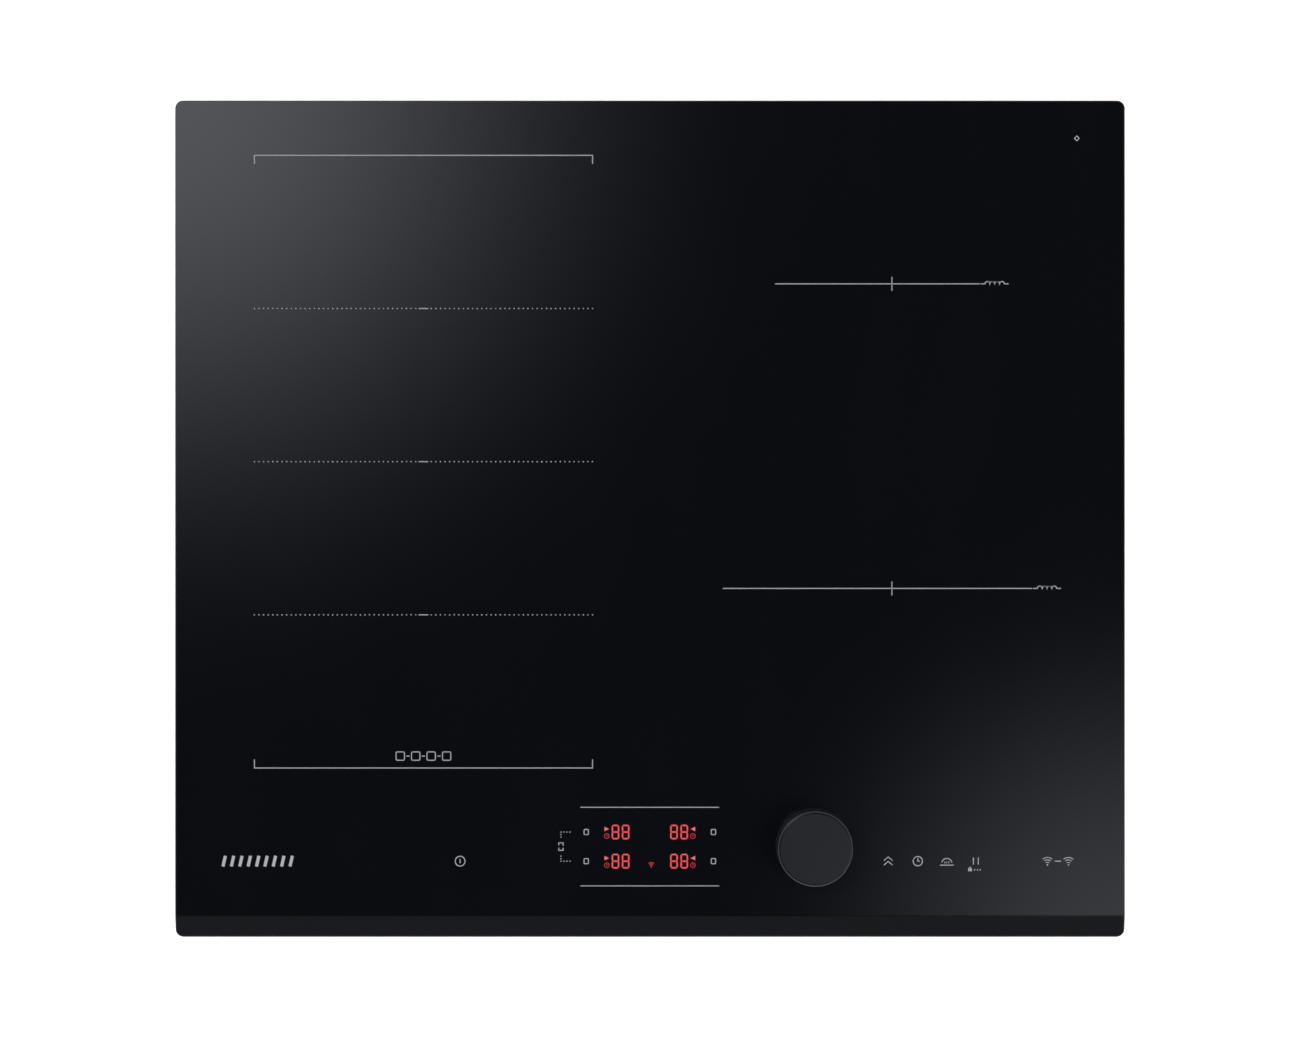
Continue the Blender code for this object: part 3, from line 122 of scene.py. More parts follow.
def add_node(tree, kind, inputs=None, **settings):
    """Adds one node, sets its properties, and sets or links its inputs."""
    made = tree.nodes.new(kind)
    for name, value in settings.items():
        setattr(made, name, value)
    for name, value in (inputs or {}).items():
        if isinstance(value, bpy.types.NodeSocket):
            tree.links.new(value, made.inputs[name])
        else:
            made.inputs[name].default_value = value
    return made


def start_material(name, **sockets):
    """A new material with its shader set, and the place on the object in metres for its patterns."""
    made = bpy.data.materials.new(name)
    made.use_nodes = True
    tree = made.node_tree
    tree.nodes.clear()
    inputs = {key.replace("_", " "): value for key, value in sockets.items()}
    shader = add_node(tree, "ShaderNodeBsdfPrincipled", inputs)
    add_node(tree, "ShaderNodeOutputMaterial", {"Surface": shader.outputs[0]})
    place = add_node(tree, "ShaderNodeTexCoord").outputs["Object"]
    return made, tree, shader, place


def follow_pattern(tree, shader, pattern, colours, roughness, height=0.0):
    """Lets colour, roughness and relief in metres follow a pattern from its low to its high places."""
    tint = {0: pattern, 6: linear(colours[0]), 7: linear(colours[1])}
    colour = add_node(tree, "ShaderNodeMix", tint, data_type="RGBA").outputs[2]
    tree.links.new(colour, shader.inputs["Base Color"])
    limits = {"Value": pattern, "To Min": roughness[0], "To Max": roughness[1]}
    rough = add_node(tree, "ShaderNodeMapRange", limits).outputs[0]
    tree.links.new(rough, shader.inputs["Roughness"])
    if height:
        relief = {"Height": pattern, "Distance": height, "Strength": 0.6}
        bump = add_node(tree, "ShaderNodeBump", relief).outputs[0]
        tree.links.new(bump, shader.inputs["Normal"])


def grained(name, grain, colours, roughness, height=0.0, detail=2.0, stretch=None, **sockets):
    """A material that follows one soft grain of that size in metres, drawn out where stretch says."""
    made, tree, shader, place = start_material(name, **sockets)
    if stretch:
        place = add_node(tree, "ShaderNodeMapping", {"Vector": place, "Scale": stretch}).outputs[0]
    inputs = {"Vector": place, "Scale": 1 / grain, "Detail": detail}
    pattern = add_node(tree, "ShaderNodeTexNoise", inputs).outputs["Fac"]
    follow_pattern(tree, shader, pattern, colours, roughness, height)
    return made


# ---------------------------------------------------------------- materials


def black_glass_ceramic():
    """Black glass ceramic, rolled and fire polished: nearly black, faintly blue, sharp reflection."""
    # A clean plate still carries a faint wiping film some 40 mm wide, which softens the reflection.
    return grained(
        "Black glass ceramic", 40 * MM, ("#0f1116", "#121419"), (0.01, 0.055),
        detail=4.0, stretch=(1, 0.35, 1), IOR=1.52,
    )


def ground_glass_edge():
    """Diamond-ground glass edge: satin and greyish, as the fine scratches scatter light."""
    # Grinding marks are some 0.05 mm; drawn at 0.4 mm so that they show.
    return grained(
        "Ground glass edge", 0.4 * MM, ("#3b3f40", "#565b5b"), (0.38, 0.55), 0.03 * MM, IOR=1.52
    )


def printed_enamel(name, light, dark):
    """Ceramic ink, screen printed and fired on: matt grey with the slight grain of the screen."""
    # The screen has about 10 threads to the millimetre; drawn at 0.5 mm so that it shows.
    return grained(name, 0.5 * MM, (dark, light), (0.5, 0.65), IOR=1.5)


def lit_segments(name, core, rim, strength):
    """Light-emitting segments behind dark glass: glowing red, a touch paler where the die sits."""
    made, tree, shader, place = start_material(name, IOR=1.5, Emission_Strength=strength)
    # One die sits every 2 mm or so.
    inputs = {"Vector": place, "Scale": 1 / (2.2 * MM), "Detail": 1.0}
    dies = add_node(tree, "ShaderNodeTexNoise", inputs).outputs["Fac"]
    follow_pattern(tree, shader, dies, ("#140304", "#1a0506"), (0.35, 0.45))
    tint = {0: dies, 6: linear(rim), 7: linear(core)}
    glow = add_node(tree, "ShaderNodeMix", tint, data_type="RGBA").outputs[2]
    tree.links.new(glow, shader.inputs["Emission Color"])
    return made


def anodised_graphite():
    """Aluminium, bead blasted and anodised graphite: even, dark and satin, with a fine sparkle."""
    # Blasting pits are about 0.1 mm; drawn at 0.3 mm so that they show.
    return grained(
        "Graphite anodised aluminium", 0.3 * MM, ("#53565b", "#5c5d62"), (0.42, 0.52), 0.006 * MM,
        Metallic=1.0,
    )


def diamond_cut_edge():
    """Aluminium edge, diamond cut and clear anodised: a brighter, smoother ring than the face."""
    # The tool leaves lines of about 0.05 mm; drawn at 0.4 mm so that they show.
    return grained(
        "Diamond-cut aluminium edge", 0.4 * MM, ("#484a4f", "#525459"), (0.16, 0.24),
        stretch=(0.1, 0.1, 1), Metallic=1.0,
    )


def moulded_black(name):
    """Glass-filled polyamide, injection moulded in an eroded tool: dull black with an even grain."""
    # The eroded grain is about 0.1 mm; drawn at 0.6 mm so that it shows.
    return grained(
        name, 0.6 * MM, ("#121314", "#242627"), (0.42, 0.65), 0.03 * MM, detail=3.0, IOR=1.53
    )


def moulded_white():
    """PBT, injection moulded: warm white, smooth, with faint flow clouds some 9 mm wide."""
    return grained(
        "Moulded white PBT", 9 * MM, ("#d6d4cb", "#ecebe5"), (0.3, 0.44), detail=3.0, IOR=1.55
    )


def coil_plastic():
    """Heat-proof PPS moulding for the coil formers: dark grey with glass fibres near the surface."""
    # Fibres are 0.01 mm thick; the streaks that they make in the skin are about 1.2 mm.
    return grained(
        "Moulded grey PPS", 1.2 * MM, ("#494a4b", "#636464"), (0.42, 0.62), 0.02 * MM,
        stretch=(1, 0.25, 1), IOR=1.6,
    )


def smoked_window():
    """Smoked acrylic over the displays: deep red-black and glossy with light haze."""
    return grained(
        "Smoked red acrylic", 14 * MM, ("#160506", "#280b0c"), (0.06, 0.18), detail=3.0, IOR=1.49
    )


def moulded_rubber():
    """EPDM rubber, moulded: soft black, nearly without shine, with a little bloom."""
    return grained(
        "Moulded EPDM rubber", 5 * MM, ("#111111", "#272727"), (0.66, 0.86), detail=4.0, IOR=1.5
    )


def cell_foam():
    """Closed-cell foam tape, cut from sheet: matt charcoal with small open cells on its cut sides."""
    made, tree, shader, place = start_material("Closed-cell foam", IOR=1.45)
    # Cells are about 0.3 mm; drawn at 0.9 mm so that they show.
    inputs = {"Vector": place, "Scale": 1 / (0.9 * MM)}
    cells = add_node(tree, "ShaderNodeTexVoronoi", inputs).outputs["Distance"]
    follow_pattern(tree, shader, cells, ("#323335", "#1b1c1e"), (0.8, 0.95), 0.15 * MM)
    return made


def galvanised_sheet():
    """Hot-dip galvanised steel, skin passed: mid grey with faint crystal spangle and soft shine."""
    made, tree, shader, place = start_material("Galvanised steel", Metallic=1.0)
    # Skin-passed spangle is about 3 mm; drawn at 5 mm so that it shows, with uneven edges.
    inputs = {"Vector": place, "Scale": 1 / (6 * MM)}
    wander = add_node(tree, "ShaderNodeTexNoise", inputs).outputs["Color"]
    inputs = {0: 0.005, 4: place, 5: wander}
    bent = add_node(tree, "ShaderNodeMix", inputs, data_type="VECTOR").outputs[1]
    inputs = {"Vector": bent, "Scale": 1 / (5 * MM)}
    crystals = add_node(tree, "ShaderNodeTexVoronoi", inputs).outputs["Color"]
    tone = add_node(tree, "ShaderNodeSeparateColor", {0: crystals}).outputs[0]
    # Handling leaves duller clouds some 60 mm wide over the spangle.
    inputs = {"Vector": place, "Scale": 1 / (60 * MM)}
    dull = add_node(tree, "ShaderNodeTexNoise", inputs).outputs["Fac"]
    mixed = add_node(tree, "ShaderNodeMath", {0: tone, 1: dull}, operation="MULTIPLY").outputs[0]
    follow_pattern(tree, shader, mixed, ("#989b9d", "#aeb1b2"), (0.46, 0.34))
    return made


def spring_strip():
    """Hardened spring steel strip, oiled: bright grey-brown with fine rolling lines along it."""
    # Rolling lines are under 0.1 mm; drawn at 0.8 mm so that they show.
    return grained(
        "Spring steel strip", 0.8 * MM, ("#7a766f", "#a7a39c"), (0.2, 0.38), 0.008 * MM,
        detail=3.0, stretch=(1, 1, 0.08), Metallic=1.0,
    )


def bright_zinc():
    """Steel fastener, bright zinc plated: bluish silver, with slight plating unevenness."""
    return grained(
        "Bright zinc plate", 1.5 * MM, ("#a4a9b0", "#c8cdd2"), (0.18, 0.34), detail=3.0, Metallic=1.0
    )


def mill_aluminium(name, stretch):
    """Aluminium in mill finish, rolled or extruded: pale, satin, with long drawing lines."""
    # Drawing lines are about 0.2 mm; drawn at 1.2 mm so that they show.
    return grained(
        name, 1.2 * MM, ("#b4b6b8", "#d4d6d7"), (0.28, 0.46), 0.01 * MM,
        detail=3.0, stretch=stretch, Metallic=1.0,
    )


def litz_copper():
    """Enamelled copper litz, twisted and wound: reddish brown with the slant of its strands."""
    made, tree, shader, place = start_material("Enamelled copper litz", Metallic=1.0)
    # The bundle's twist repeats about every 4 mm, slanted across the winding.
    turn = add_node(tree, "ShaderNodeMapping", {"Vector": place, "Rotation": (0, 0, 0.7)}).outputs[0]
    inputs = {"Vector": turn, "Scale": 1 / (12 * MM), "Distortion": 1.5}
    twist = add_node(tree, "ShaderNodeTexWave", inputs).outputs["Fac"]
    follow_pattern(tree, shader, twist, ("#84451f", "#c47e48"), (0.28, 0.42), 0.2 * MM)
    return made


def pressed_mica():
    """Mica paper, pressed with silicone resin: brown-gold flakes some 3 mm wide, dull and pearly."""
    made, tree, shader, place = start_material("Pressed mica", IOR=1.58)
    inputs = {"Vector": place, "Scale": 1 / (3 * MM)}
    flakes = add_node(tree, "ShaderNodeTexVoronoi", inputs).outputs["Color"]
    tone = add_node(tree, "ShaderNodeSeparateColor", {0: flakes}).outputs[1]
    follow_pattern(tree, shader, tone, ("#a18c68", "#c4b391"), (0.3, 0.5))
    return made


def solder_resist():
    """Glass-epoxy board under green solder resist: copper tracks show paler and slightly raised."""
    made, tree, shader, place = start_material("Green circuit board", IOR=1.55)
    # Rows of tracks every 2.5 mm, in runs of 11 mm.
    inputs = {"Vector": place, "Scale": 1 / (5 * MM)}
    inputs |= {"Row Height": 0.5, "Brick Width": 2.2, "Mortar Size": 0.12}
    tracks = add_node(tree, "ShaderNodeTexBrick", inputs).outputs["Fac"]
    follow_pattern(tree, shader, tracks, ("#17452c", "#24623f"), (0.3, 0.2), 0.04 * MM)
    return made


def plated_magnet():
    """Sintered magnet, nickel plated: mid grey metal with soft blotches."""
    return grained(
        "Nickel plated magnet", 3 * MM, ("#8a8781", "#afaca6"), (0.18, 0.36), detail=3.0, Metallic=1.0
    )


def turned_brass():
    """Brass, turned on a lathe: warm yellow with a slightly uneven cut."""
    return grained(
        "Turned brass", 0.7 * MM, ("#b38f46", "#d4b570"), (0.22, 0.38), detail=3.0, Metallic=1.0
    )


# ---------------------------------------------------------------- mesh helpers


def linked_object(name, work, finishes=()):
    """An object of the mesh, in the scene, with its materials."""
    mesh = bpy.data.meshes.new(name)
    work.to_mesh(mesh)
    work.free()
    for finish in finishes:
        mesh.materials.append(finish)
    made = bpy.data.objects.new(name, mesh)
    bpy.context.scene.collection.objects.link(made)
    return made


def new_piece(name, work, finishes, body, replaced=()):
    """A piece of the hob that rides on a body of the frame."""
    bmesh.ops.recalc_face_normals(work, faces=work.faces)
    piece = linked_object(name, work, finishes)
    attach(piece, body)
    if replaced:
        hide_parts(*replaced)
    return piece


def smooth_by_angle(piece, degrees=35):
    """Shades smooth, except over edges sharper than the angle."""
    piece.data.shade_smooth()
    piece.data.set_sharp_from_angle(angle=math.radians(degrees))


def arc(centre, radius, start, end, steps):
    """Points on an arc, from the start angle to the end angle in degrees."""
    angles = [math.radians(start + (end - start) * i / steps) for i in range(steps + 1)]
    return [(centre[0] + radius * math.cos(a), centre[1] + radius * math.sin(a)) for a in angles]


def rounded_outline(half_x, half_y, radius, steps=10, centre=(0, 0)):
    """Counter-clockwise outline of a rectangle with round corners."""
    points = []
    for turn, (sx, sy) in enumerate(((1, 1), (-1, 1), (-1, -1), (1, -1))):
        middle = (centre[0] + sx * (half_x - radius), centre[1] + sy * (half_y - radius))
        points += arc(middle, radius, 90 * turn, 90 * turn + 90, steps)
    return points


def lofted(work, rings, caps=True):
    """Skins equal rings of points one after another, with closed ends, and gives the side faces."""
    made = [[work.verts.new(p) for p in ring] for ring in rings]
    count = len(made[0])
    faces = []
    for low, high in zip(made, made[1:]):
        for i in range(count):
            j = (i + 1) % count
            faces.append(work.faces.new((low[i], low[j], high[j], high[i])))
    if caps:
        work.faces.new(made[0])
        work.faces.new(made[-1])
    return faces


def turned(work, profile, centre, steps=128):
    """Turns a profile of (radius, height) points about an upright axis; ends on it are closed."""
    rings = []
    for radius, height in profile:
        if radius == 0:
            rings.append([work.verts.new((centre.x, centre.y, height))])
            continue
        angles = [2 * math.pi * i / steps for i in range(steps)]
        rings.append([
            work.verts.new((centre.x + radius * math.cos(a), centre.y + radius * math.sin(a), height))
            for a in angles
        ])
    for low, high in zip(rings, rings[1:]):
        for i in range(steps):
            j = (i + 1) % steps
            corners = [low[i % len(low)], low[j % len(low)], high[j % len(high)], high[i % len(high)]]
            work.faces.new(list(dict.fromkeys(corners)))


def slab(work, outline, low, high):
    """A flat plate with that outline."""
    lofted(work, [[(x, y, z) for x, y in outline] for z in (low, high)])


def spot(work, place, radius, low, high):
    """A small printed dot."""
    slab(work, arc(place, radius, 0, 330, 11), low, high)


def ribbon(work, path, width, low, high, closed=False):
    """A flat strip of even width along a path, with mitred corners."""
    points = [Vector(p) for p in path]
    count = len(points)
    left, right = [], []
    for i, point in enumerate(points):
        before = points[i - 1] if closed or i else None
        after = points[(i + 1) % count] if closed or i < count - 1 else None
        ways = [(b - a).normalized() for a, b in ((before, point), (point, after)) if a and b]
        mean = sum(ways, Vector((0, 0))).normalized()
        side = Vector((-mean.y, mean.x))
        reach = width / 2 / max(0.3, side.dot(Vector((-ways[0].y, ways[0].x))))
        left.append(point + side * reach)
        right.append(point - side * reach)
    if not closed:
        slab(work, [tuple(p) for p in right + left[::-1]], low, high)
        return
    rows = [(left, high), (right, high), (right, low), (left, low)]
    verts = [[work.verts.new((*p, z)) for p in row] for row, z in rows]
    for first, second in zip(verts, verts[1:] + verts[:1]):
        for i in range(count):
            j = (i + 1) % count
            work.faces.new((first[i], first[j], second[j], second[i]))


# ---------------------------------------------------------------- glass


def make_glass(sizes):
    """The glass plate: polished face, ground pencil edge and a bevel along the front."""
    half = (GLASS_HIGH - GLASS_LOW) / 2
    edge = sizes.edge_round
    steps = 6
    turn = [math.pi / 2 * i / steps for i in range(steps + 1)]
    section = [(edge * (1 - math.sin(t)), GLASS_LOW.z + edge * (1 - math.cos(t))) for t in turn]
    section += [(edge * (1 - math.cos(t)), GLASS_FACE - edge * (1 - math.sin(t))) for t in turn]
    rings = []
    for inset, height in section:
        outline = rounded_outline(half.x - inset, half.y - inset, sizes.corner_radius - inset, 12)
        rings.append([(x, y, height) for x, y in outline])
    work = bmesh.new()
    for face in lofted(work, rings):
        face.smooth = True
        face.material_index = 1
    ridge = GLASS_LOW.y + sizes.bevel_width
    soft = sizes.ridge_round
    for line in (ridge + soft / 2, ridge - soft / 2):
        parts = list(work.verts) + list(work.edges) + list(work.faces)
        bmesh.ops.bisect_plane(work, geom=parts, plane_co=(0, line, 0), plane_no=(0, 1, 0))
    slope = sizes.bevel_drop / sizes.bevel_width
    thickness = GLASS_FACE - GLASS_LOW.z
    for vert in work.verts:
        fall = max(0.0, min(ridge + soft / 2 - vert.co.y, soft)) * slope / 2
        fall += max(0.0, ridge - soft / 2 - vert.co.y) * slope
        share = (vert.co.z - GLASS_LOW.z) / thickness
        vert.co.z -= fall * share
    finishes = [black_glass_ceramic(), ground_glass_edge()]
    new_piece("glass_plate", work, finishes, "hob", ["glass_top"])


# ---------------------------------------------------------------- printed marks


def ink_levels(sizes):
    """Lower and upper side of the print, which bites a little into the glass face."""
    return GLASS_FACE - 0.01 * MM, GLASS_FACE + sizes.ink_height


def dotted(work, start, end, sizes):
    """A row of printed dots."""
    low, high = ink_levels(sizes)
    start, end = Vector(start), Vector(end)
    count = max(1, round((end - start).length / sizes.dot_pitch))
    for i in range(count + 1):
        place = start.lerp(end, i / count)
        spot(work, place, sizes.dot_size / 2, low, high)


def coil_symbol(work, centre, width, sizes):
    """Coil loops between two short leads, the general sign for induction."""
    low, high = ink_levels(sizes)
    loops = 4
    radius = sizes.loop_radius
    half = loops * radius
    path = [(centre[0] - width / 2, centre[1])]
    for i in range(loops):
        middle = (centre[0] - half + (2 * i + 1) * radius, centre[1])
        path += arc(middle, radius, 180, 0, 14)[bool(i):]
    path.append((centre[0] + width / 2, centre[1]))
    ribbon(work, path, sizes.line_width, low, high)


def make_zone_marks(sizes):
    """Printed outlines of the flexible zone and of the two round zones."""
    low, high = ink_levels(sizes)
    line = sizes.line_width
    work = bmesh.new()
    left, right = FLEX_LOW.x + line / 2, FLEX_HIGH.x - 2 * line
    for level, tick in ((FLEX_HIGH.y, -sizes.bracket_tick), (FLEX_LOW.y, sizes.bracket_tick)):
        path = [(left, level + tick), (left, level), (right, level), (right, level + tick)]
        ribbon(work, path, line, low, high)
    middle = (left + right) / 2
    dash = sizes.centre_dash / 2
    space = dash + 1.8 * MM
    dots = bmesh.new()
    for i in range(1, sizes.flex_parts):
        y = FLEX_LOW.y + (FLEX_HIGH.y - FLEX_LOW.y) * i / sizes.flex_parts
        ribbon(work, [(middle - dash, y), (middle + dash, y)], line, low, high)
        dotted(dots, (left, y), (middle - space, y), sizes)
        dotted(dots, (middle + space, y), (right, y), sizes)
    for box_low, box_high in ((REAR_LOW, REAR_HIGH), (FRONT_LOW, FRONT_HIGH)):
        x, y = (box_low.x + box_high.x) / 2, (box_low.y + box_high.y) / 2
        end = box_high.x - sizes.symbol_width - 0.6 * MM
        tick = sizes.cross_tick / 2
        ribbon(work, [(box_low.x, y), (end, y)], line, low, high)
        ribbon(work, [(x, y - tick), (x, y + tick)], line, low, high)
        coil_symbol(work, (box_high.x - sizes.symbol_width / 2, y), sizes.symbol_width, sizes)
    # Four linked pads above the lower bracket say that the zone joins up.
    pads, pad, pitch = 4, 2.6 * MM, 9.6 * MM
    y = FLEX_LOW.y + 7.4 * MM
    for i in range(pads):
        x = middle + (i - (pads - 1) / 2) * pitch
        ribbon(work, rounded_outline(pad, pad, 0.8 * MM, 3, (x, y)), line, low, high, True)
        if i < pads - 1:
            link = pad + 1.2 * MM
            ribbon(work, [(x + link, y), (x + pitch - link, y)], line, low, high)
    enamel = printed_enamel("Grey fired enamel", "#c1c2c7", "#b5b6bb")
    new_piece("zone_marks", work, [enamel], "hob")
    faint = printed_enamel("Grey fired enamel, thin", "#c4c5ca", "#b8b9bd")
    new_piece("zone_dots", dots, [faint], "hob")


def clock_sign(work, centre, radius, width, low, high):
    """A ring with two hands."""
    ribbon(work, arc(centre, radius, 0, 348, 29), width, low, high, True)
    x, y = centre
    ribbon(work, [(x, y + radius * 0.6), (x, y), (x + radius * 0.45, y)], width, low, high)


def wave_sign(work, centre, size, width, low, high):
    """Three arcs over a dot, the general sign for a wireless link."""
    base = (centre[0], centre[1] - size / 2)
    spot(work, base, width * 0.9, low, high)
    for i in (1, 2, 3):
        ribbon(work, arc(base, size * i / 3, 50, 130, 10), width, low, high)


def chevron_sign(work, centre, size, width, low, high):
    """Two chevrons pointing up, for full power."""
    x, y = centre
    half = size * 0.5
    for i in (-1, 1):
        tip = y + i * size * 0.26
        foot = tip - size * 0.2
        ribbon(work, [(x - half, foot), (x, tip + size * 0.24), (x + half, foot)], width, low, high)


def dome_sign(work, centre, size, width, low, high):
    """A dish cover over a plate line, for keeping food warm."""
    x, y = centre[0], centre[1] - size * 0.3
    ribbon(work, arc((x, y + width), size * 0.46, 12, 168, 16), width, low, high)
    plate = y - width * 0.6
    ribbon(work, [(x - size * 0.62, plate), (x + size * 0.62, plate)], width, low, high)
    for i in (-1, 0, 1):
        steam = x + i * size * 0.18
        ribbon(work, [(steam, y + size * 0.1), (steam, y + size * 0.27)], width * 0.8, low, high)


def make_key_marks(sizes):
    """Printed signs of the touch keys along the front."""
    low, high = ink_levels(sizes)
    line = sizes.line_width * 0.95
    middle_x, middle_y = DISPLAY_CENTRE.xy
    row, upper = middle_y - sizes.row_pitch / 2, middle_y + sizes.row_pitch / 2
    work = bmesh.new()
    # Power: a ring round a bar.
    power = sizes.power_x
    ribbon(work, arc((power, row), 3.05 * MM, 0, 348, 29), line, low, high, True)
    ribbon(work, [(power, row - 1.2 * MM), (power, row + 1.2 * MM)], line, low, high)
    # Lines over and under the display, and the four zone keys beside it.
    for side in (-1, 1):
        y = middle_y + side * sizes.display_line_y
        half = sizes.display_line_half
        ribbon(work, [(middle_x - half, y), (middle_x + half, y)], line * 0.9, low, high)
        for y in (row, upper):
            place = (middle_x + side * sizes.zone_key_x, y)
            key = rounded_outline(1.35 * MM, 1.6 * MM, 0.5 * MM, 3, place)
            ribbon(work, key, line, low, high, True)
    # Bracket of dots with a broken frame in it: joins the two left zones.
    link_x = middle_x - sizes.link_x
    for y in (row, upper):
        inward = math.copysign(1, middle_y - y)
        places = [(link_x + i * 1.86 * MM, y) for i in range(4)]
        places += [(link_x, y + inward * i * 1.55 * MM) for i in (1, 2)]
        for place in places:
            spot(work, place, 0.38 * MM, low, high)
    for side in (-1, 1):
        hook = [(-1.35, 0.75), (-1.35, 2.3), (1.35, 2.3), (1.35, 0.75)]
        path = [(link_x + x * MM, middle_y + side * y * MM) for x, y in hook]
        ribbon(work, path, line, low, high)
    # Keys right of the dial.
    chevron_sign(work, (sizes.boost_x, row), 5.4 * MM, line, low, high)
    clock_sign(work, (sizes.timer_x, row), 2.9 * MM, line, low, high)
    dome_sign(work, (sizes.warm_x, row), 7.0 * MM, line, low, high)
    for side in (-1, 1):
        x = sizes.pause_x + side * 1.5 * MM
        ribbon(work, [(x, row - 2.1 * MM), (x, row + 2.3 * MM)], line, low, high)
    # A small padlock and three dots under the pause key: hold for three seconds to lock.
    x, y = sizes.pause_x - 3.6 * MM, row - 5.4 * MM
    slab(work, rounded_outline(1.2 * MM, 0.85 * MM, 0.2 * MM, 2, (x, y)), low, high)
    ribbon(work, arc((x, y + 0.9 * MM), 0.75 * MM, 0, 180, 8), 0.4 * MM, low, high)
    for i in range(3):
        spot(work, (x + (2.9 + 1.7 * i) * MM, y), 0.45 * MM, low, high)
    # Two wireless signs joined by a dash.
    x = sizes.link_sign_x
    for side in (-1, 1):
        wave_sign(work, (x + side * 6.5 * MM, row), 4.6 * MM, line * 0.9, low, high)
    ribbon(work, [(x - 2 * MM, row), (x + 2 * MM, row)], line, low, high)
    enamel = printed_enamel("Grey fired enamel, keys", "#c6c7cc", "#b8b9be")
    new_piece("key_marks", work, [enamel], "hob")


def make_corner_marks(sizes):
    """Two neutral ornaments: slanted bars at the left front and a small diamond at the rear right."""
    low, high = ink_levels(sizes)
    row = DISPLAY_CENTRE.y - sizes.row_pitch / 2
    work = bmesh.new()
    bars, pitch = 9, 5.2 * MM
    tall, lean = 6.6 * MM / 2, 1.5 * MM / 2
    for i in range(bars):
        x = sizes.ornament_x + (i - (bars - 1) / 2) * pitch
        ribbon(work, [(x - lean, row - tall), (x + lean, row + tall)], 1.9 * MM, low, high)
    x, y = GLASS_HIGH.x - 30 * MM, GLASS_HIGH.y - 23.7 * MM
    size = 1.5 * MM
    path = [(x + size, y), (x, y + size), (x - size, y), (x, y - size)]
    ribbon(work, path, 0.5 * MM, low, high, True)
    enamel = printed_enamel("Grey fired enamel, ornament", "#d2d3d7", "#c6c7cb")
    new_piece("corner_marks", work, [enamel], "hob")


# ---------------------------------------------------------------- lit display


def figure_eight(work, centre, sizes, width, low, high):
    """The seven segments of one digit, all lit, each as wide as given."""
    half_x = (sizes.digit_width - sizes.segment) / 2
    half_y = (sizes.digit_height - sizes.segment) / 2
    gap = 0.12 * MM
    runs = [((-half_x, y), (half_x, y)) for y in (-half_y, 0, half_y)]
    runs += [((x, y), (x, y + half_y)) for x in (-half_x, half_x) for y in (-half_y, 0)]
    for start, end in runs:
        a, b = Vector(centre) + Vector(start), Vector(centre) + Vector(end)
        way = (b - a).normalized()
        a += way * gap
        b -= way * gap
        tip = way * width / 2
        side = Vector((-tip.y, tip.x))
        slab(work, [a, a + tip - side, b - tip - side, b, b - tip + side, a + tip + side], low, high)


def make_display(sizes, marks):
    """Red figures and signs that shine through the glass."""
    low, high = ink_levels(marks)
    work, halo, icons = bmesh.new(), bmesh.new(), bmesh.new()
    middle_x, middle_y = DISPLAY_CENTRE.xy
    for y in (middle_y - marks.row_pitch / 2, middle_y + marks.row_pitch / 2):
        for side in (-1, 1):
            for offset in (sizes.inner_digit, sizes.outer_digit):
                place = (middle_x + side * offset, y)
                figure_eight(work, place, sizes, sizes.segment_core, low, high)
                # Light that spreads in the diffuser reddens the segment's sides.
                figure_eight(halo, place, sizes, sizes.segment, low, (low + high) / 2)
            # An arrow beside the figures, over a small clock.
            x = middle_x + side * sizes.sign_offset
            half = 1.4 * MM
            tip, base, level = x - side * half, x + side * half, y + 1.9 * MM
            slab(work, [(tip, level), (base, level - half), (base, level + half)], low, high)
            clock_sign(icons, (x, y - 2.5 * MM), 1.5 * MM, 0.42 * MM, low, high)
    link = (middle_x + 0.9 * MM, middle_y - 11.2 * MM)
    wave_sign(icons, link, 2.6 * MM, 0.55 * MM, low, high)
    figures = lit_segments("Lit red segments", "#ff8a90", "#ff6c72", sizes.glow)
    sides = lit_segments("Red light in the diffuser", "#dc181e", "#c01219", sizes.glow)
    signs = lit_segments("Dim red signs", "#d8434a", "#bc323a", sizes.glow)
    new_piece("display_figures", work, [figures], "hob")
    new_piece("display_halo", halo, [sides], "hob")
    new_piece("display_signs", icons, [signs], "hob")


# ---------------------------------------------------------------- dial


def make_dial(sizes):
    """The lift-off dial: a hollow cap with a boss for its bush."""
    radius = (CAP_HIGH.x - CAP_LOW.x) / 2
    top_radius = radius - sizes.draft
    edge = sizes.edge_round
    lip = 0.25 * MM
    turn = [math.pi / 2 * i / 8 for i in range(9)]
    low, high = CAP_LOW.z, CAP_HIGH.z
    outer = [(radius - lip, low), (radius, low + lip)]
    outer += [(top_radius - edge * (1 - math.cos(t)), high - edge * (1 - math.sin(t))) for t in turn]
    outer.append((0, high))
    ceiling = high - sizes.top_thickness
    boss_low = low + sizes.boss_lift
    bore, wall = sizes.boss_bore, radius - sizes.wall
    boss = bore + sizes.boss_wall
    inner = [(0, ceiling), (bore, ceiling), (bore, boss_low), (boss, boss_low), (boss, ceiling)]
    inner += [(wall, ceiling), (wall, low + lip), (wall + lip, low)]
    work = bmesh.new()
    turned(work, inner + outer, DIAL_CENTRE)
    bmesh.ops.remove_doubles(work, verts=work.verts, dist=1e-7)
    for face in work.faces:
        middle = face.calc_center_median()
        across = (middle - DIAL_CENTRE).xy.length
        if middle.z > high - edge and across > top_radius - edge:
            face.material_index = 1
    finishes = [anodised_graphite(), diamond_cut_edge()]
    cap = new_piece("dial_cap", work, finishes, "knob_dial", ["knob_cap"])
    smooth_by_angle(cap, 40)


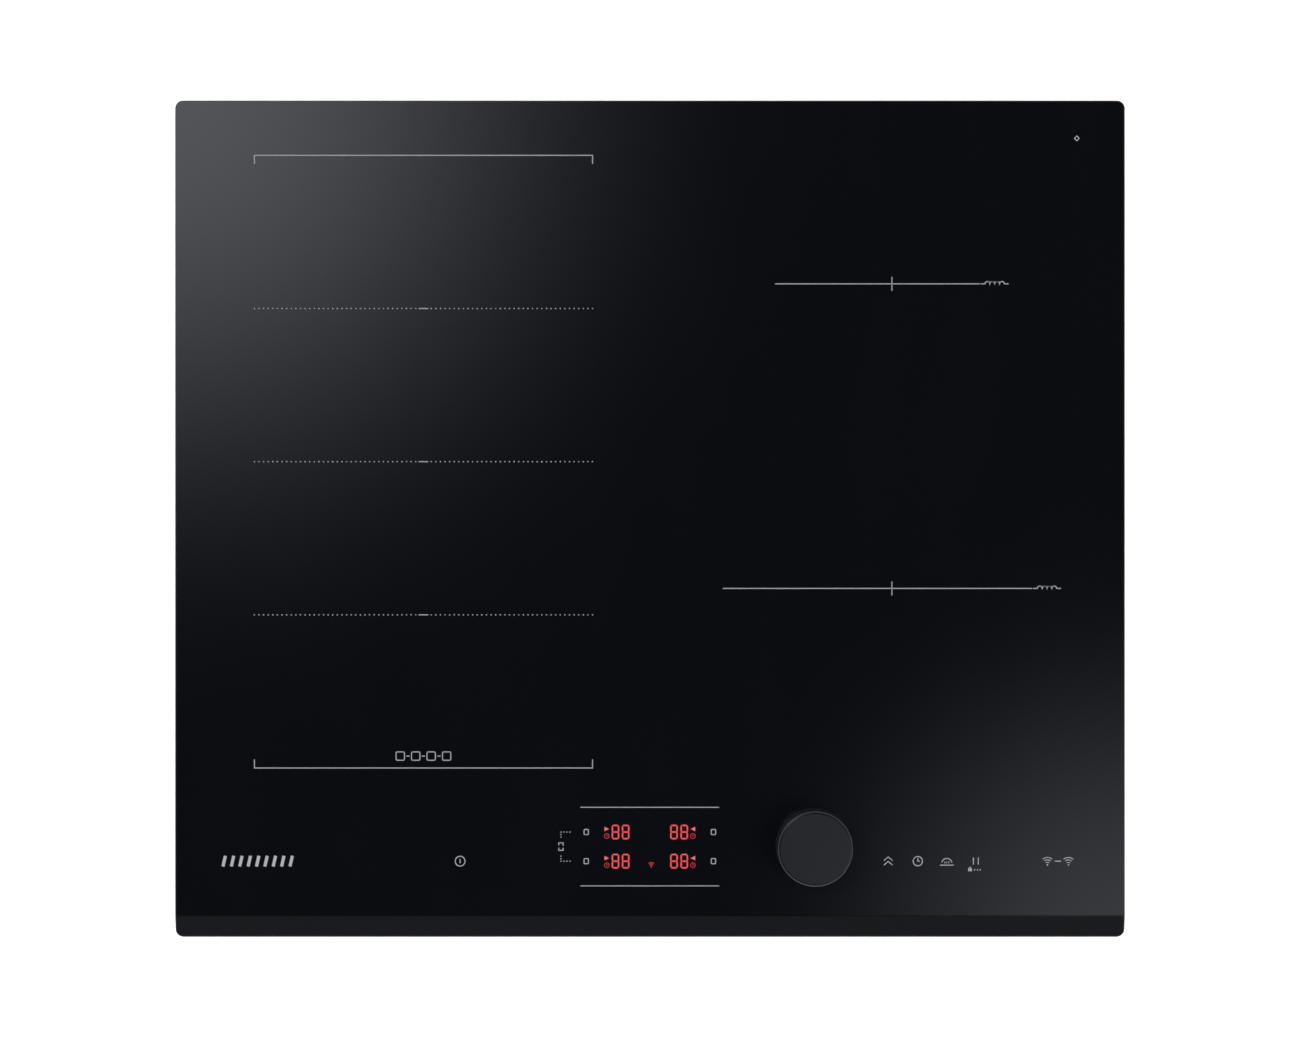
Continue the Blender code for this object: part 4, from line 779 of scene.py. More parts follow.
def make_foot(sizes):
    """The rubber foot that the dial sits on: a disc with grip rings and a post for the bush."""
    radius = (FOOT_HIGH.x - FOOT_LOW.x) / 2
    low, level, top = FOOT_LOW.z, FOOT_LOW.z + sizes.foot_disc, FOOT_HIGH.z
    post = sizes.post_radius
    profile = [(0, low), (radius - 0.5 * MM, low), (radius, low + 0.4 * MM)]
    rounding = ((0, 0.6), (0.2, 0.2), (0.6, 0))
    profile += [(radius - inset * MM, level - drop * MM) for inset, drop in rounding]
    groove = ((0, 0), (0.25, 0.3), (0.55, 0.3), (0.8, 0))
    for i in range(4):
        ring = radius - (2.2 + 1.5 * i) * MM
        profile += [(ring - inset * MM, level - drop * MM) for inset, drop in groove]
    fillet = ((0.8, 0), (0.2, 0.25), (0, 0.9))
    profile += [(post + outset * MM, level + rise * MM) for outset, rise in fillet]
    rounding = ((0, 0.8), (0.25, 0.25), (0.8, 0))
    profile += [(post - inset * MM, top - drop * MM) for inset, drop in rounding]
    profile.append((0, top))
    work = bmesh.new()
    turned(work, profile, (FOOT_LOW + FOOT_HIGH) / 2, 96)
    foot = new_piece("dial_foot", work, [moulded_rubber()], "knob_base", ["knob_foot"])
    smooth_by_angle(foot, 40)


# ---------------------------------------------------------------- seal, clips and screws


def make_seal(sizes):
    """The foam tape under the glass edge, with slightly bulging cut sides."""
    half = (SEAL_HIGH - SEAL_LOW) / 2
    tall = SEAL_HIGH.z - SEAL_LOW.z
    steps = 6
    section = []
    for i in range(steps + 1):
        dent = sizes.bulge * (1 - math.sin(math.pi * i / steps))
        section.append((dent, SEAL_LOW.z + tall * i / steps))
    section += [(sizes.width - dent, SEAL_LOW.z + SEAL_HIGH.z - height) for dent, height in section]
    rings = []
    for inset, height in section + section[:1]:
        radius = max(0.6 * MM, sizes.corner_radius - inset)
        outline = rounded_outline(half.x - inset, half.y - inset, radius, 8)
        rings.append([(x, y, height) for x, y in outline])
    work = bmesh.new()
    lofted(work, rings, caps=False)
    bmesh.ops.remove_doubles(work, verts=work.verts, dist=1e-7)
    seal = new_piece("foam_seal", work, [cell_foam()], "hob", ["worktop_seal"])
    smooth_by_angle(seal, 50)


def smooth_line(points, steps):
    """Points on a smooth curve through the given ones."""
    ends = [2 * points[0] - points[1], *points, 2 * points[-1] - points[-2]]
    line = []
    for a, b, c, d in zip(ends, ends[1:], ends[2:], ends[3:]):
        for i in range(steps):
            t = i / steps
            line.append(
                0.5 * (2 * b + (c - a) * t + (2 * a - 5 * b + 4 * c - d) * t ** 2
                       + (3 * b - a - 3 * c + d) * t ** 3)
            )
    return [*line, points[-1]]


def thick_line(line, thickness):
    """Closed outline of a strip whose one side follows the line."""
    outer = []
    for i, point in enumerate(line):
        way = (line[min(i + 1, len(line) - 1)] - line[max(i - 1, 0)]).normalized()
        outer.append(point + Vector((way.y, -way.x)) * thickness)
    return [*line, *outer[::-1]]


def leaf_outline(low, high, sheet):
    """Side view of a clip's leaf, from the wall outward: folded over the base, then bowed out."""
    reach = high.x - low.x - sheet
    top = high.z - CLIP_FOLD
    # The fold over the base, then the slope, the bulge that grips the worktop, and the tail.
    fold = [(0, -1.4), (0, 0), (0.45, 0.85), (1.3, 1.15), (2.1, 0.75)]
    points = [(across * MM, top + rise * MM) for across, rise in fold]
    points += [(reach * 0.72, top - 5 * MM), (reach, top - 11 * MM)]
    points += [(reach - 0.1 * MM, top - 13 * MM), (reach - 1.9 * MM, low.z + 1.3 * MM)]
    return thick_line(smooth_line([Vector(p) for p in points], 5), sheet)


def make_clips(sizes):
    """Four spring clips: a screwed base plate and a leaf folded over its top."""
    steel = spring_strip()
    sheet = sizes.sheet
    half = sizes.leaf_width / 2
    for across, side in (("left", -1), ("right", 1)):
        for along in ("front", "rear"):
            node = f"spring_clip_{across}_{along}"
            low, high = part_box(node)
            wall = high.x if side < 0 else low.x
            y = (low.y + high.y) / 2
            outline = leaf_outline(low, high, sheet)
            work = bmesh.new()
            rings = [[(wall + side * x, y + shift, z) for x, z in outline] for shift in (-half, half)]
            lofted(work, rings)
            tall = (high.z - CLIP_FOLD - 0.6 * MM - low.z) / 2
            plate = rounded_outline((high.y - low.y) / 2, tall, 2 * MM, 5, (y, low.z + tall))
            lofted(work, [[(wall + side * out, b, z) for b, z in plate] for out in (0, sheet)])
            # A rib pressed into the base, beside the leaf on the side away from the screw.
            rib_y, rib_z = y - math.copysign(9.8 * MM, y), low.z + 13 * MM
            rib = rounded_outline(0.9 * MM, 5.5 * MM, 0.85 * MM, 5)
            steps = ((sheet * 0.9, 1.0), (sheet + 0.35 * MM, 0.9), (sheet + 0.5 * MM, 0.6))
            lofted(work, [
                [(wall + side * out, rib_y + b * share, rib_z + z * share) for b, z in rib]
                for out, share in steps
            ])
            clip = new_piece(f"clip_{across}_{along}", work, [steel], "hob", [node])
            smooth_by_angle(clip, 40)


def screw_mesh(finish):
    """A pan-head sheet metal screw with a cross recess, pointing down from its head."""
    head, shank, length = 3.2 * MM, 1.35 * MM, 5.9 * MM
    tilts = [math.radians(t) for t in range(0, 86, 8)]
    profile = [(head * math.sin(t), SCREW_HEAD * math.cos(t) ** 0.8) for t in tilts]
    profile += [(head, 0.25 * MM), (head, 0), (shank, 0)]
    turns, pitch, thread = 7, 0.72 * MM, 0.15 * MM
    for i in range(turns):
        level = -0.5 * MM - i * pitch
        radius = shank * (1 - 0.5 * max(0, i - turns + 3) / 3)
        profile += [(radius, level), (radius + thread, level - pitch / 4)]
        profile.append((radius, level - pitch / 2))
    profile.append((0, -length))
    work = bmesh.new()
    turned(work, profile, Vector((0, 0, 0)), 40)
    bmesh.ops.recalc_face_normals(work, faces=work.faces)
    blank = linked_object("screw", work)
    # Two crossing wedges, narrower at the bottom of the recess.
    cross = bmesh.new()
    long, short = 2.1 * MM, 0.34 * MM
    for half_x, half_y in ((long, short), (short, long)):
        rings = []
        for height, narrow, thin in ((0.55 * MM, 0.55, 0.9), (2.2 * MM, 1, 1)):
            x = half_x * (narrow if half_x == long else thin)
            y = half_y * (narrow if half_y == long else thin)
            rings.append([(-x, -y, height), (x, -y, height), (x, y, height), (-x, y, height)])
        lofted(cross, rings)
    bmesh.ops.recalc_face_normals(cross, faces=cross.faces)
    recess = linked_object("screw_recess", cross)
    step = blank.modifiers.new("Recess", "BOOLEAN")
    step.operation = "DIFFERENCE"
    step.object = recess
    step.use_self = True
    bpy.context.view_layer.update()
    graph = bpy.context.evaluated_depsgraph_get()
    made = bpy.data.meshes.new_from_object(blank.evaluated_get(graph))
    for obj in (blank, recess):
        bpy.data.objects.remove(obj, do_unlink=True)
    made.materials.clear()
    made.materials.append(finish)
    made.shade_smooth()
    made.set_sharp_from_angle(angle=math.radians(38))
    return made


def make_screws():
    """Ten cross-recessed screws in the case walls, all alike."""
    shared = screw_mesh(bright_zinc())
    ways = {"left": (-1, 0), "right": (1, 0), "front": (0, -1), "rear": (0, 1)}
    for node in frame["nodes"]:
        family, _, rest = node.partition("_screw_")
        if family not in ("case", "clip") or not rest:
            continue
        way = Vector((*ways[rest.split("_")[0]], 0))
        low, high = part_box(node)
        # The middle of the node's outer face is the top of the head.
        face = (low + high) / 2 + Vector([w * (b - a) / 2 for w, a, b in zip(way, low, high)])
        screw = bpy.data.objects.new(node.replace("screw", "fixing"), shared)
        turn = way.to_track_quat("Z", "Y").to_matrix().to_4x4()
        # Each was driven until tight, so that its recess stands at its own angle.
        spin = Matrix.Rotation(math.radians(20 + 37 * (len(node) % 5)), 4, "Z")
        screw.matrix_world = Matrix.Translation(face - way * SCREW_HEAD) @ turn @ spin
        bpy.context.scene.collection.objects.link(screw)
        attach(screw, "hob")
        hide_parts(node)


# ---------------------------------------------------------------- terminal room


def make_gland():
    """The rubber grommet in the rear wall, with a stepped outer lip."""
    low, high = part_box("cable_gland")
    middle = (low + high) / 2
    lip = (high.x - low.x) / 2
    depth = high.y - low.y
    bore, neck = lip * 0.49, lip * 0.8
    groove = 1.6 * MM
    profile = [(bore, 0), (bore, depth), (bore + 0.5 * MM, depth), (lip * 0.72, depth)]
    profile.append((lip * 0.78, depth - 0.5 * MM))
    rounding = ((0.8, 0.5), (0.25, 0.75), (0, 1.1))
    profile += [(lip - inset * MM, depth - drop * MM) for inset, drop in rounding]
    profile += [(lip, depth - groove), (neck, depth - groove), (neck, groove)]
    profile += [(lip - 0.4 * MM, groove), (lip - 0.8 * MM, 0), (bore, 0)]
    work = bmesh.new()
    turned(work, profile, Vector((0, 0, 0)), 64)
    bmesh.ops.remove_doubles(work, verts=work.verts, dist=1e-7)
    turn = Matrix.Rotation(-math.pi / 2, 4, "X")
    work.transform(Matrix.Translation((middle.x, low.y, middle.z)) @ turn)
    gland = new_piece("gland", work, [moulded_rubber()], "hob", ["cable_gland"])
    smooth_by_angle(gland, 35)


def make_terminal_screws(sizes):
    """Slotted brass clamp screws in the ten wells of the terminal block."""
    low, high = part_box("terminal_block")
    pitch = (high.x - low.x) / sizes.poles
    middle, tall = (low.z + high.z) / 2, high.z - low.z
    radius, height = sizes.screw_radius, sizes.screw_height
    shoulder, slot_floor = height * 0.55, height * 0.5
    upright = Matrix.Rotation(-math.pi / 2, 4, "X")
    work = bmesh.new()
    for i in range(sizes.poles):
        for level in (-0.23, 0.23):
            part = bmesh.new()
            profile = [(0, 0), (radius, 0), (radius, shoulder), (0, shoulder)]
            turned(part, profile, Vector((0, 0, 0)), 32)
            # The head's two halves, either side of the slot.
            for side in (0, 180):
                land = arc((0, 0), radius - 0.15 * MM, side + 9, side + 171, 14)
                slab(part, land, slot_floor, height)
            spin = Matrix.Rotation(math.radians(25 + 40 * i + level * 90), 4, "Z")
            place = (low.x + (i + 0.5) * pitch, high.y - 6.8 * MM, middle + level * tall)
            part.transform(Matrix.Translation(place) @ upright @ spin)
            mesh = bpy.data.meshes.new("clamp_screw")
            part.to_mesh(mesh)
            part.free()
            work.from_mesh(mesh)
            bpy.data.meshes.remove(mesh)
    screws = new_piece("terminal_screws", work, [turned_brass()], "hob")
    smooth_by_angle(screws, 35)


def make_cover_ribs(sizes):
    """Raised frame and grip lines moulded on the outside of the terminal cover."""
    low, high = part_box("terminal_cover")
    face = COVER_AXIS["pos_m"][1] + sizes.cover_sheet / 2
    bottom, top = face - 0.05 * MM, face + 0.3 * MM
    x, z = (low.x + high.x) / 2, (low.z + high.z) / 2 - 1.2 * MM
    half_x, half_z = (high.x - low.x) / 2 - 6 * MM, (high.z - low.z) / 2 - 4.8 * MM
    work = bmesh.new()
    path = rounded_outline(half_x, half_z, 1.6 * MM, 4, (x, z))
    ribbon(work, path, 0.8 * MM, bottom, top, True)
    grip = 12 * MM
    for i in range(5):
        level = z + (i - 2) * 2.6 * MM + 1.5 * MM
        ribbon(work, [(x - grip, level), (x + grip, level)], 0.7 * MM, bottom, top)
    for vert in work.verts:
        vert.co = vert.co.xzy
    black = moulded_black("Moulded black polyamide, ribs")
    new_piece("cover_ribs", work, [black], "terminal_cover")


# ---------------------------------------------------------------- case and inner parts


def pressed_bead(work, start, end, out, sizes):
    """A long rounded rib pressed out of a wall, between two points on its face."""
    start, end, out = Vector(start), Vector(end), Vector(out)
    way = (end - start).normalized()
    up = out.cross(way)
    turns, steps = 9, 6
    rings = []
    for i in range(turns):
        # The cross-section follows a cosine, as sheet does when it is drawn over a round tool.
        shrink = 1 - i / turns
        rise = sizes.bead_rise * (1 + math.cos(math.pi * shrink)) / 2 - 0.05 * MM
        half = sizes.bead_width / 2 * shrink
        ring = []
        for middle, turn in ((end, -90), (start, 90)):
            for x, y in arc((0, 0), half, turn, turn + 180, steps):
                ring.append(middle + way * x + up * y + out * rise)
        rings.append(ring)
    lofted(work, rings)


def make_case_beads(sizes):
    """Stiffening beads pressed into the walls of the case between its slots and fixings."""
    work = bmesh.new()
    for z in (sizes.bead_low, sizes.bead_high):
        for side in (-1, 1):
            x = side * CASE_HIGH.x
            for y0, y1 in ((-92 * MM, -8 * MM), (38 * MM, 100 * MM)):
                pressed_bead(work, (x, y0, z), (x, y1, z), (side, 0, 0), sizes)
        for x0, x1 in ((-252 * MM, -130 * MM), (-88 * MM, 88 * MM)):
            pressed_bead(work, (x0, CASE_HIGH.y, z), (x1, CASE_HIGH.y, z), (0, 1, 0), sizes)
        for x0, x1 in ((-252 * MM, -158 * MM), (158 * MM, 252 * MM)):
            pressed_bead(work, (x0, CASE_LOW.y, z), (x1, CASE_LOW.y, z), (0, -1, 0), sizes)
    beads = new_piece("case_beads", work, [galvanised_sheet()], "hob")
    smooth_by_angle(beads, 50)


def dress_nodes():
    """Gives each piece that comes straight from the frame its own material."""
    zinc, litz, white = galvanised_sheet(), litz_copper(), moulded_white()
    black = moulded_black("Moulded black polyamide")
    # Part of a node's name, and its material.
    finishes = {
        "bottom_case": zinc,
        "glass_frame": zinc,
        "coil_deck": mill_aluminium("Rolled aluminium sheet", (0.1, 1, 1)),
        "heat_sink": mill_aluminium("Extruded aluminium", (1, 0.05, 1)),
        "coil_former": coil_plastic(),
        "winding": litz,
        "filter_choke": litz,
        "sensor": white,
        "mica_sheet": pressed_mica(),
        "board": solder_resist(),
        "fan_motor": bright_zinc(),
        "fan_housing": black,
        "fan_rotor": black,
        "control_tray": black,
        "terminal_box": black,
        "terminal_cover": black,
        "terminal_block": white,
        "display_block": smoked_window(),
        "magnet": plated_magnet(),
        "knob_bush": white,
    }
    for node, obj in frame["nodes"].items():
        if obj.hide_render:
            continue
        words = [word for word in finishes if word in node]
        if not words:
            raise RuntimeError(f"no finish for {node}")
        obj.data.materials.clear()
        obj.data.materials.append(finishes[words[0]])


# ---------------------------------------------------------------- studio


def disc(name, radius):
    """A flat round object in the scene."""
    work = bmesh.new()
    bmesh.ops.create_circle(work, cap_ends=True, radius=radius, segments=96)
    return linked_object(name, work)


def soft_card(name, place, target, radius, peak, sharpness, tint):
    """A round light card facing a point, whose brightness falls off softly from its middle."""
    card = disc(name, radius)
    card.location = place
    card.rotation_euler = (Vector(target) - Vector(place)).to_track_quat("-Z", "Y").to_euler()
    material = bpy.data.materials.new(name)
    material.use_nodes = True
    tree = material.node_tree
    tree.nodes.clear()
    on_card = add_node(tree, "ShaderNodeTexCoord").outputs["Object"]
    inputs = {0: on_card, 1: (1, 1, 0)}
    flat = add_node(tree, "ShaderNodeVectorMath", inputs, operation="MULTIPLY").outputs[0]
    away = add_node(tree, "ShaderNodeVectorMath", {0: flat}, operation="LENGTH").outputs["Value"]
    # Half a turn of cosine, from full in the middle to nothing at the rim.
    limits = {"Value": away, "From Max": radius, "To Max": math.pi}
    angle = add_node(tree, "ShaderNodeMapRange", limits).outputs[0]
    cosine = add_node(tree, "ShaderNodeMath", {0: angle}, operation="COSINE").outputs[0]
    share = add_node(tree, "ShaderNodeMapRange", {"Value": cosine, "From Min": -1.0}).outputs[0]
    inputs = {0: share, 1: sharpness}
    shaped = add_node(tree, "ShaderNodeMath", inputs, operation="POWER").outputs[0]
    power = add_node(tree, "ShaderNodeMath", {0: shaped, 1: peak}, operation="MULTIPLY").outputs[0]
    inputs = {"Color": linear(tint), "Strength": power}
    glow = add_node(tree, "ShaderNodeEmission", inputs).outputs[0]
    # Beyond its glow the card is clear, so that its outline shows in no reflection.
    clear = add_node(tree, "ShaderNodeBsdfTransparent").outputs[0]
    both = add_node(tree, "ShaderNodeAddShader", {0: glow, 1: clear}).outputs[0]
    add_node(tree, "ShaderNodeOutputMaterial", {"Surface": both})
    card.data.materials.append(material)
    return card


def make_floor(studio):
    """A wide pale floor under the case."""
    floor = disc("floor", studio.floor_radius)
    floor.location.z = CAD_BOX[0][2] - 0.3 * MM
    made, tree, shader, place = start_material("Pale studio floor", Roughness=0.9)
    shader.inputs["Base Color"].default_value = linear("#e9e9e9")
    shader.inputs["Specular IOR Level"].default_value = 0.0
    shader.inputs["Emission Color"].default_value = (1, 1, 1, 1)
    shader.inputs["Emission Strength"].default_value = studio.floor_glow
    tree.nodes.remove(place.node)
    floor.data.materials.append(made)


def make_world():
    """Room light: white at the horizon, dim above, dark overhead so that the glass stays black."""
    world = bpy.data.worlds.new("Studio")
    bpy.context.scene.world = world
    world.use_nodes = True
    tree = world.node_tree
    tree.nodes.clear()
    place = add_node(tree, "ShaderNodeTexCoord").outputs["Generated"]
    height = add_node(tree, "ShaderNodeSeparateXYZ", {0: place}).outputs["Z"]
    ramp = add_node(tree, "ShaderNodeValToRGB", {0: height})
    # Sine of the elevation, and the brightness there.
    steps = ((0.0, 1.0), (0.20, 1.0), (0.32, 0.42), (0.60, 0.30))
    steps += ((0.87, 0.16), (0.93, 0.02), (0.95, 0.0))
    for i, (level, value) in enumerate(steps):
        point = ramp.color_ramp.elements[i] if i < 2 else ramp.color_ramp.elements.new(level)
        point.position = level
        point.color = (value, value, value, 1)
    glow = add_node(tree, "ShaderNodeBackground", {"Color": ramp.outputs[0], "Strength": 1.05})
    add_node(tree, "ShaderNodeOutputWorld", {"Surface": glow.outputs[0]})


def make_stage(studio):
    """Floor, light cards and the camera straight over the glass."""
    make_floor(studio)
    make_world()
    # Seen from the camera, a card mirrored in the glass looks smaller by this factor.
    reach = 1 + studio.card_height / studio.camera_height
    level = GLASS_FACE + studio.card_height
    # Where each glow shows on the glass, how wide it is there, its strength and its sharpness.
    cards = (
        ("card_rear_left", -308 * MM, 275 * MM, 497 * MM, 1.0, 2.57),
        ("card_front_right", 304 * MM, -271 * MM, 307 * MM, 0.44, 1.9),
    )
    for name, x, y, radius, share, sharpness in cards:
        place, below = (x * reach, y * reach, level), (x * reach, y * reach, 0)
        power = studio.card_power * share
        soft_card(name, place, below, radius * reach, power, sharpness, "#f3f6ff")
    across, along, level = studio.fill_place
    for name, side in (("fill_rear_left", -1), ("fill_front_right", 1)):
        place = (side * across, -side * along, level)
        fill = soft_card(name, place, (0, 0, 0), studio.fill_radius, studio.fill_power, 1, "#ffffff")
        # The fill lights the case's walls, but would turn the glass grey if it were mirrored.
        fill.visible_glossy = False
    camera = bpy.data.objects.new("camera", bpy.data.cameras.new("camera"))
    camera.data.lens = studio.lens
    camera.data.sensor_width = 36
    camera.location = (studio.camera_x, studio.camera_y, GLASS_FACE + studio.camera_height)
    bpy.context.scene.collection.objects.link(camera)
    bpy.context.scene.camera = camera
    bpy.context.scene.view_settings.view_transform = "Standard"


# ---------------------------------------------------------------- add-on


def length(name, text, default):
    """A size in metres."""
    return FloatProperty(name=name, description=text, default=default, unit="LENGTH", precision=5)


def amount(name, text, default):
    """A plain number that isn't negative."""
    return FloatProperty(name=name, description=text, default=default, min=0)


class HobGlass(bpy.types.PropertyGroup):
    corner_radius: length("Corner Radius", "Radius of the plate's corners", 5 * MM)
    edge_round: length("Edge Round", "Radius of the ground edge", 0.7 * MM)
    bevel_width: length("Bevel Width", "Width of the bevel along the front", 13.7 * MM)
    bevel_drop: length("Bevel Drop", "How far the bevel falls to the front edge", 2.2 * MM)
    ridge_round: length("Ridge Round", "Width of the soft line along the top of the bevel", 0.8 * MM)


class HobMarks(bpy.types.PropertyGroup):
    ink_height: length("Ink Height", "How far the fired ink stands out of the glass", 0.03 * MM)
    line_width: length("Line Width", "Width of the printed lines", 0.62 * MM)
    bracket_tick: length("Bracket Tick", "Length of the ends of the zone brackets", 5.3 * MM)
    cross_tick: length("Cross Tick", "Length of the tick at a round zone's middle", 8.7 * MM)
    centre_dash: length("Centre Dash", "Dash at the middle of a dotted line", 6 * MM)
    symbol_width: length("Symbol Width", "Width of the coil sign at a zone line's end", 17.4 * MM)
    loop_radius: length("Loop Radius", "Radius of the coil sign's loops", 1.5 * MM)
    dot_pitch: length("Dot Pitch", "Distance between the dots of a line", 2.85 * MM)
    dot_size: length("Dot Size", "Diameter of a printed dot", 0.8 * MM)
    flex_parts: IntProperty(
        name="Flexible Parts", description="Parts of the flexible zone", default=4, min=1,
    )
    row_pitch: length("Row Pitch", "Distance between the two display rows", 18.1 * MM)
    display_line_y: length("Display Line", "Display centre to the lines over and under it", 24.4 * MM)
    display_line_half: length("Half Line", "Half the length of those lines", 43.1 * MM)
    zone_key_x: length("Zone Keys", "Display centre to the zone keys", 39.5 * MM)
    link_x: length("Link Key", "Display centre to the key that joins the left zones", 55.2 * MM)
    power_x: length("Power Key", "Place of the power key", -117.9 * MM)
    boost_x: length("Boost Key", "Place of the full power key", 147.9 * MM)
    timer_x: length("Timer Key", "Place of the timer key", 166.3 * MM)
    warm_x: length("Warm Key", "Place of the keep warm key", 184.3 * MM)
    pause_x: length("Pause Key", "Place of the pause key", 202.3 * MM)
    link_sign_x: length("Wireless Sign", "Place of the wireless sign", 253.3 * MM)
    ornament_x: length("Ornament", "Middle of the row of bars at the left", -243.6 * MM)


class HobDisplay(bpy.types.PropertyGroup):
    digit_width: length("Digit Width", "Width of a lit figure", 5.1 * MM)
    digit_height: length("Digit Height", "Height of a lit figure", 9.5 * MM)
    segment: length("Segment", "Width of a lit segment with its red sides", 1.25 * MM)
    segment_core: length("Segment Core", "Width of a segment's bright middle", 0.5 * MM)
    inner_digit: length("Inner Digit", "Display centre to the inner figures", 15 * MM)
    outer_digit: length("Outer Digit", "Display centre to the outer figures", 21.35 * MM)
    sign_offset: length("Signs", "Display centre to the signs beside the figures", 26.75 * MM)
    glow: amount("Glow", "Brightness of the lit figures", 0.8)


class HobDial(bpy.types.PropertyGroup):
    draft: length("Draft", "How much the dial narrows to its top, per side", 0.35 * MM)
    edge_round: length("Edge Round", "Radius of the dial's upper edge", 1.7 * MM)
    wall: length("Wall", "Thickness of the dial's wall", 2 * MM)
    top_thickness: length("Top", "Thickness of the dial's top", 1.8 * MM)
    boss_bore: length("Boss Bore", "Radius of the hole that holds the bush", 7.2 * MM)
    boss_wall: length("Boss Wall", "Thickness of the wall round the bush", 1.8 * MM)
    boss_lift: length("Boss Lift", "Dial's lower edge to the boss's lower end", 3.5 * MM)
    foot_disc: length("Foot Disc", "Thickness of the foot's disc", 2.2 * MM)
    post_radius: length("Post Radius", "Radius of the foot's post", 5 * MM)


class HobCase(bpy.types.PropertyGroup):
    width: length("Seal Width", "Width of the foam tape", 6.5 * MM)
    bulge: length("Seal Bulge", "How far the tape bulges at half its height", 0.35 * MM)
    corner_radius: length("Seal Corner", "Outer corner radius of the tape", 5 * MM)
    sheet: length("Clip Sheet", "Thickness of the spring clips", 0.7 * MM)
    leaf_width: length("Leaf Width", "Width of a clip's leaf", 15 * MM)
    poles: IntProperty(name="Poles", description="Poles of the terminal block", default=5, min=1)
    screw_radius: length("Clamp Screw", "Head radius of a terminal screw", 2.7 * MM)
    screw_height: length("Clamp Screw Height", "Height of a terminal screw's head", 2.6 * MM)
    cover_sheet: length("Cover Sheet", "Thickness of the terminal cover", 2 * MM)
    bead_width: length("Bead Width", "Width of the pressed beads", 8 * MM)
    bead_rise: length("Bead Rise", "How far the beads stand out", 1.5 * MM)
    bead_low: length("Lower Bead", "Height of the lower row of beads", 13 * MM)
    bead_high: length("Upper Bead", "Height of the upper row of beads", 34 * MM)


class HobStudio(bpy.types.PropertyGroup):
    camera_height: length("Camera Height", "Camera over the glass", 1.3)
    camera_x: length("Camera X", "Camera to the right of the middle", 0.0)
    camera_y: length("Camera Y", "Camera behind the middle", 0.0)
    lens: amount("Lens", "Focal length in millimetres", 57.98)
    card_height: length("Card Height", "Light cards over the glass", 2.5)
    card_power: amount("Card Power", "Brightness of the rear left card", 2.2)
    fill_place: FloatVectorProperty(
        name="Fill Place", description="Fill card to the side, to the front and over the floor",
        default=(2.85, 1.35, 2.4), unit="LENGTH",
    )
    fill_radius: length("Fill Radius", "Radius of the two fill cards", 1.9)
    fill_power: amount("Fill Power", "Brightness of the fill cards", 4.4)
    floor_radius: length("Floor Radius", "Radius of the floor", 14.0)
    floor_glow: amount("Floor Glow", "Light the floor gives off itself", 0.9)


class HOB_OT_glass(bpy.types.Operator):
    """Make the glass plate"""
    bl_idname = "hob.glass"
    bl_label = "Glass Plate"

    def execute(self, context):
        make_glass(context.scene.hob_glass)
        return {"FINISHED"}


class HOB_OT_marks(bpy.types.Operator):
    """Print the zone lines, the key signs and the ornaments"""
    bl_idname = "hob.marks"
    bl_label = "Printed Marks"

    def execute(self, context):
        make_zone_marks(context.scene.hob_marks)
        make_key_marks(context.scene.hob_marks)
        make_corner_marks(context.scene.hob_marks)
        return {"FINISHED"}


class HOB_OT_display(bpy.types.Operator):
    """Light the figures and signs of the display"""
    bl_idname = "hob.display"
    bl_label = "Lit Display"

    def execute(self, context):
        make_display(context.scene.hob_display, context.scene.hob_marks)
        return {"FINISHED"}


class HOB_OT_dial(bpy.types.Operator):
    """Make the lift-off dial and the foot that it sits on"""
    bl_idname = "hob.dial"
    bl_label = "Dial"

    def execute(self, context):
        make_dial(context.scene.hob_dial)
        make_foot(context.scene.hob_dial)
        return {"FINISHED"}


class HOB_OT_seal(bpy.types.Operator):
    """Lay the foam tape under the glass edge"""
    bl_idname = "hob.seal"
    bl_label = "Foam Seal"

    def execute(self, context):
        make_seal(context.scene.hob_case)
        return {"FINISHED"}


class HOB_OT_fixings(bpy.types.Operator):
    """Make the spring clips and the screws"""
    bl_idname = "hob.fixings"
    bl_label = "Clips and Screws"

    def execute(self, context):
        make_clips(context.scene.hob_case)
        make_screws()
        return {"FINISHED"}


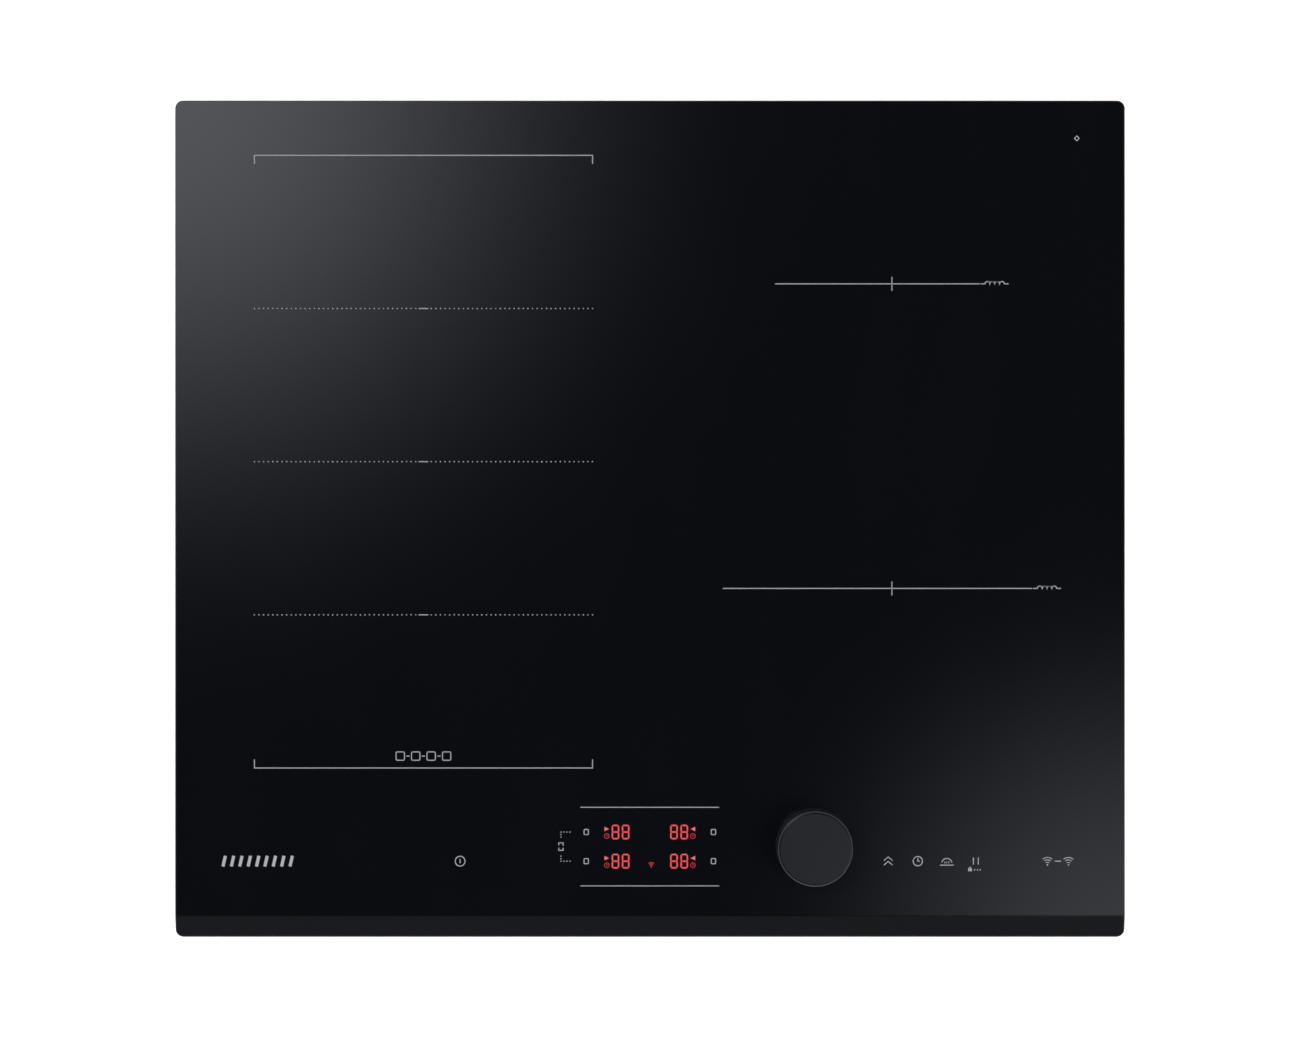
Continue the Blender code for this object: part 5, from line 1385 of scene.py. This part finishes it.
class HOB_OT_terminals(bpy.types.Operator):
    """Make the cable gland, the terminal screws and the cover's ribs"""
    bl_idname = "hob.terminals"
    bl_label = "Terminal Room"

    def execute(self, context):
        make_gland()
        make_terminal_screws(context.scene.hob_case)
        make_cover_ribs(context.scene.hob_case)
        return {"FINISHED"}


class HOB_OT_case(bpy.types.Operator):
    """Press the beads into the case and give every remaining piece its material"""
    bl_idname = "hob.case"
    bl_label = "Case and Inner Parts"

    def execute(self, context):
        make_case_beads(context.scene.hob_case)
        dress_nodes()
        return {"FINISHED"}


class HOB_OT_stage(bpy.types.Operator):
    """Set up the floor, the lights and the camera"""
    bl_idname = "hob.stage"
    bl_label = "Studio"

    def execute(self, context):
        make_stage(context.scene.hob_studio)
        return {"FINISHED"}


GROUPS = {
    "hob_glass": HobGlass,
    "hob_marks": HobMarks,
    "hob_display": HobDisplay,
    "hob_dial": HobDial,
    "hob_case": HobCase,
    "hob_studio": HobStudio,
}
OPERATORS = (
    HOB_OT_stage, HOB_OT_glass, HOB_OT_marks, HOB_OT_display, HOB_OT_dial,
    HOB_OT_seal, HOB_OT_fixings, HOB_OT_terminals, HOB_OT_case,
)


class HOB_PT_sidebar(bpy.types.Panel):
    bl_label = "Induction Hob"
    bl_idname = "HOB_PT_sidebar"
    bl_space_type = "VIEW_3D"
    bl_region_type = "UI"
    bl_category = "Hob"

    def draw(self, context):
        for operator in OPERATORS:
            self.layout.operator(operator.bl_idname)
        for name, group in GROUPS.items():
            box = self.layout.box()
            settings = getattr(context.scene, name)
            for key in group.__annotations__:
                box.prop(settings, key)


CLASSES = (*GROUPS.values(), *OPERATORS, HOB_PT_sidebar)


def register():
    for cls in CLASSES:
        bpy.utils.register_class(cls)
    for name, group in GROUPS.items():
        setattr(bpy.types.Scene, name, PointerProperty(type=group))


def unregister():
    for name in GROUPS:
        delattr(bpy.types.Scene, name)
    for cls in reversed(CLASSES):
        bpy.utils.unregister_class(cls)


def main():
    register()
    for operator in OPERATORS:
        family, name = operator.bl_idname.split(".")
        getattr(getattr(bpy.ops, family), name)()


if __name__ == "__main__":
    main()
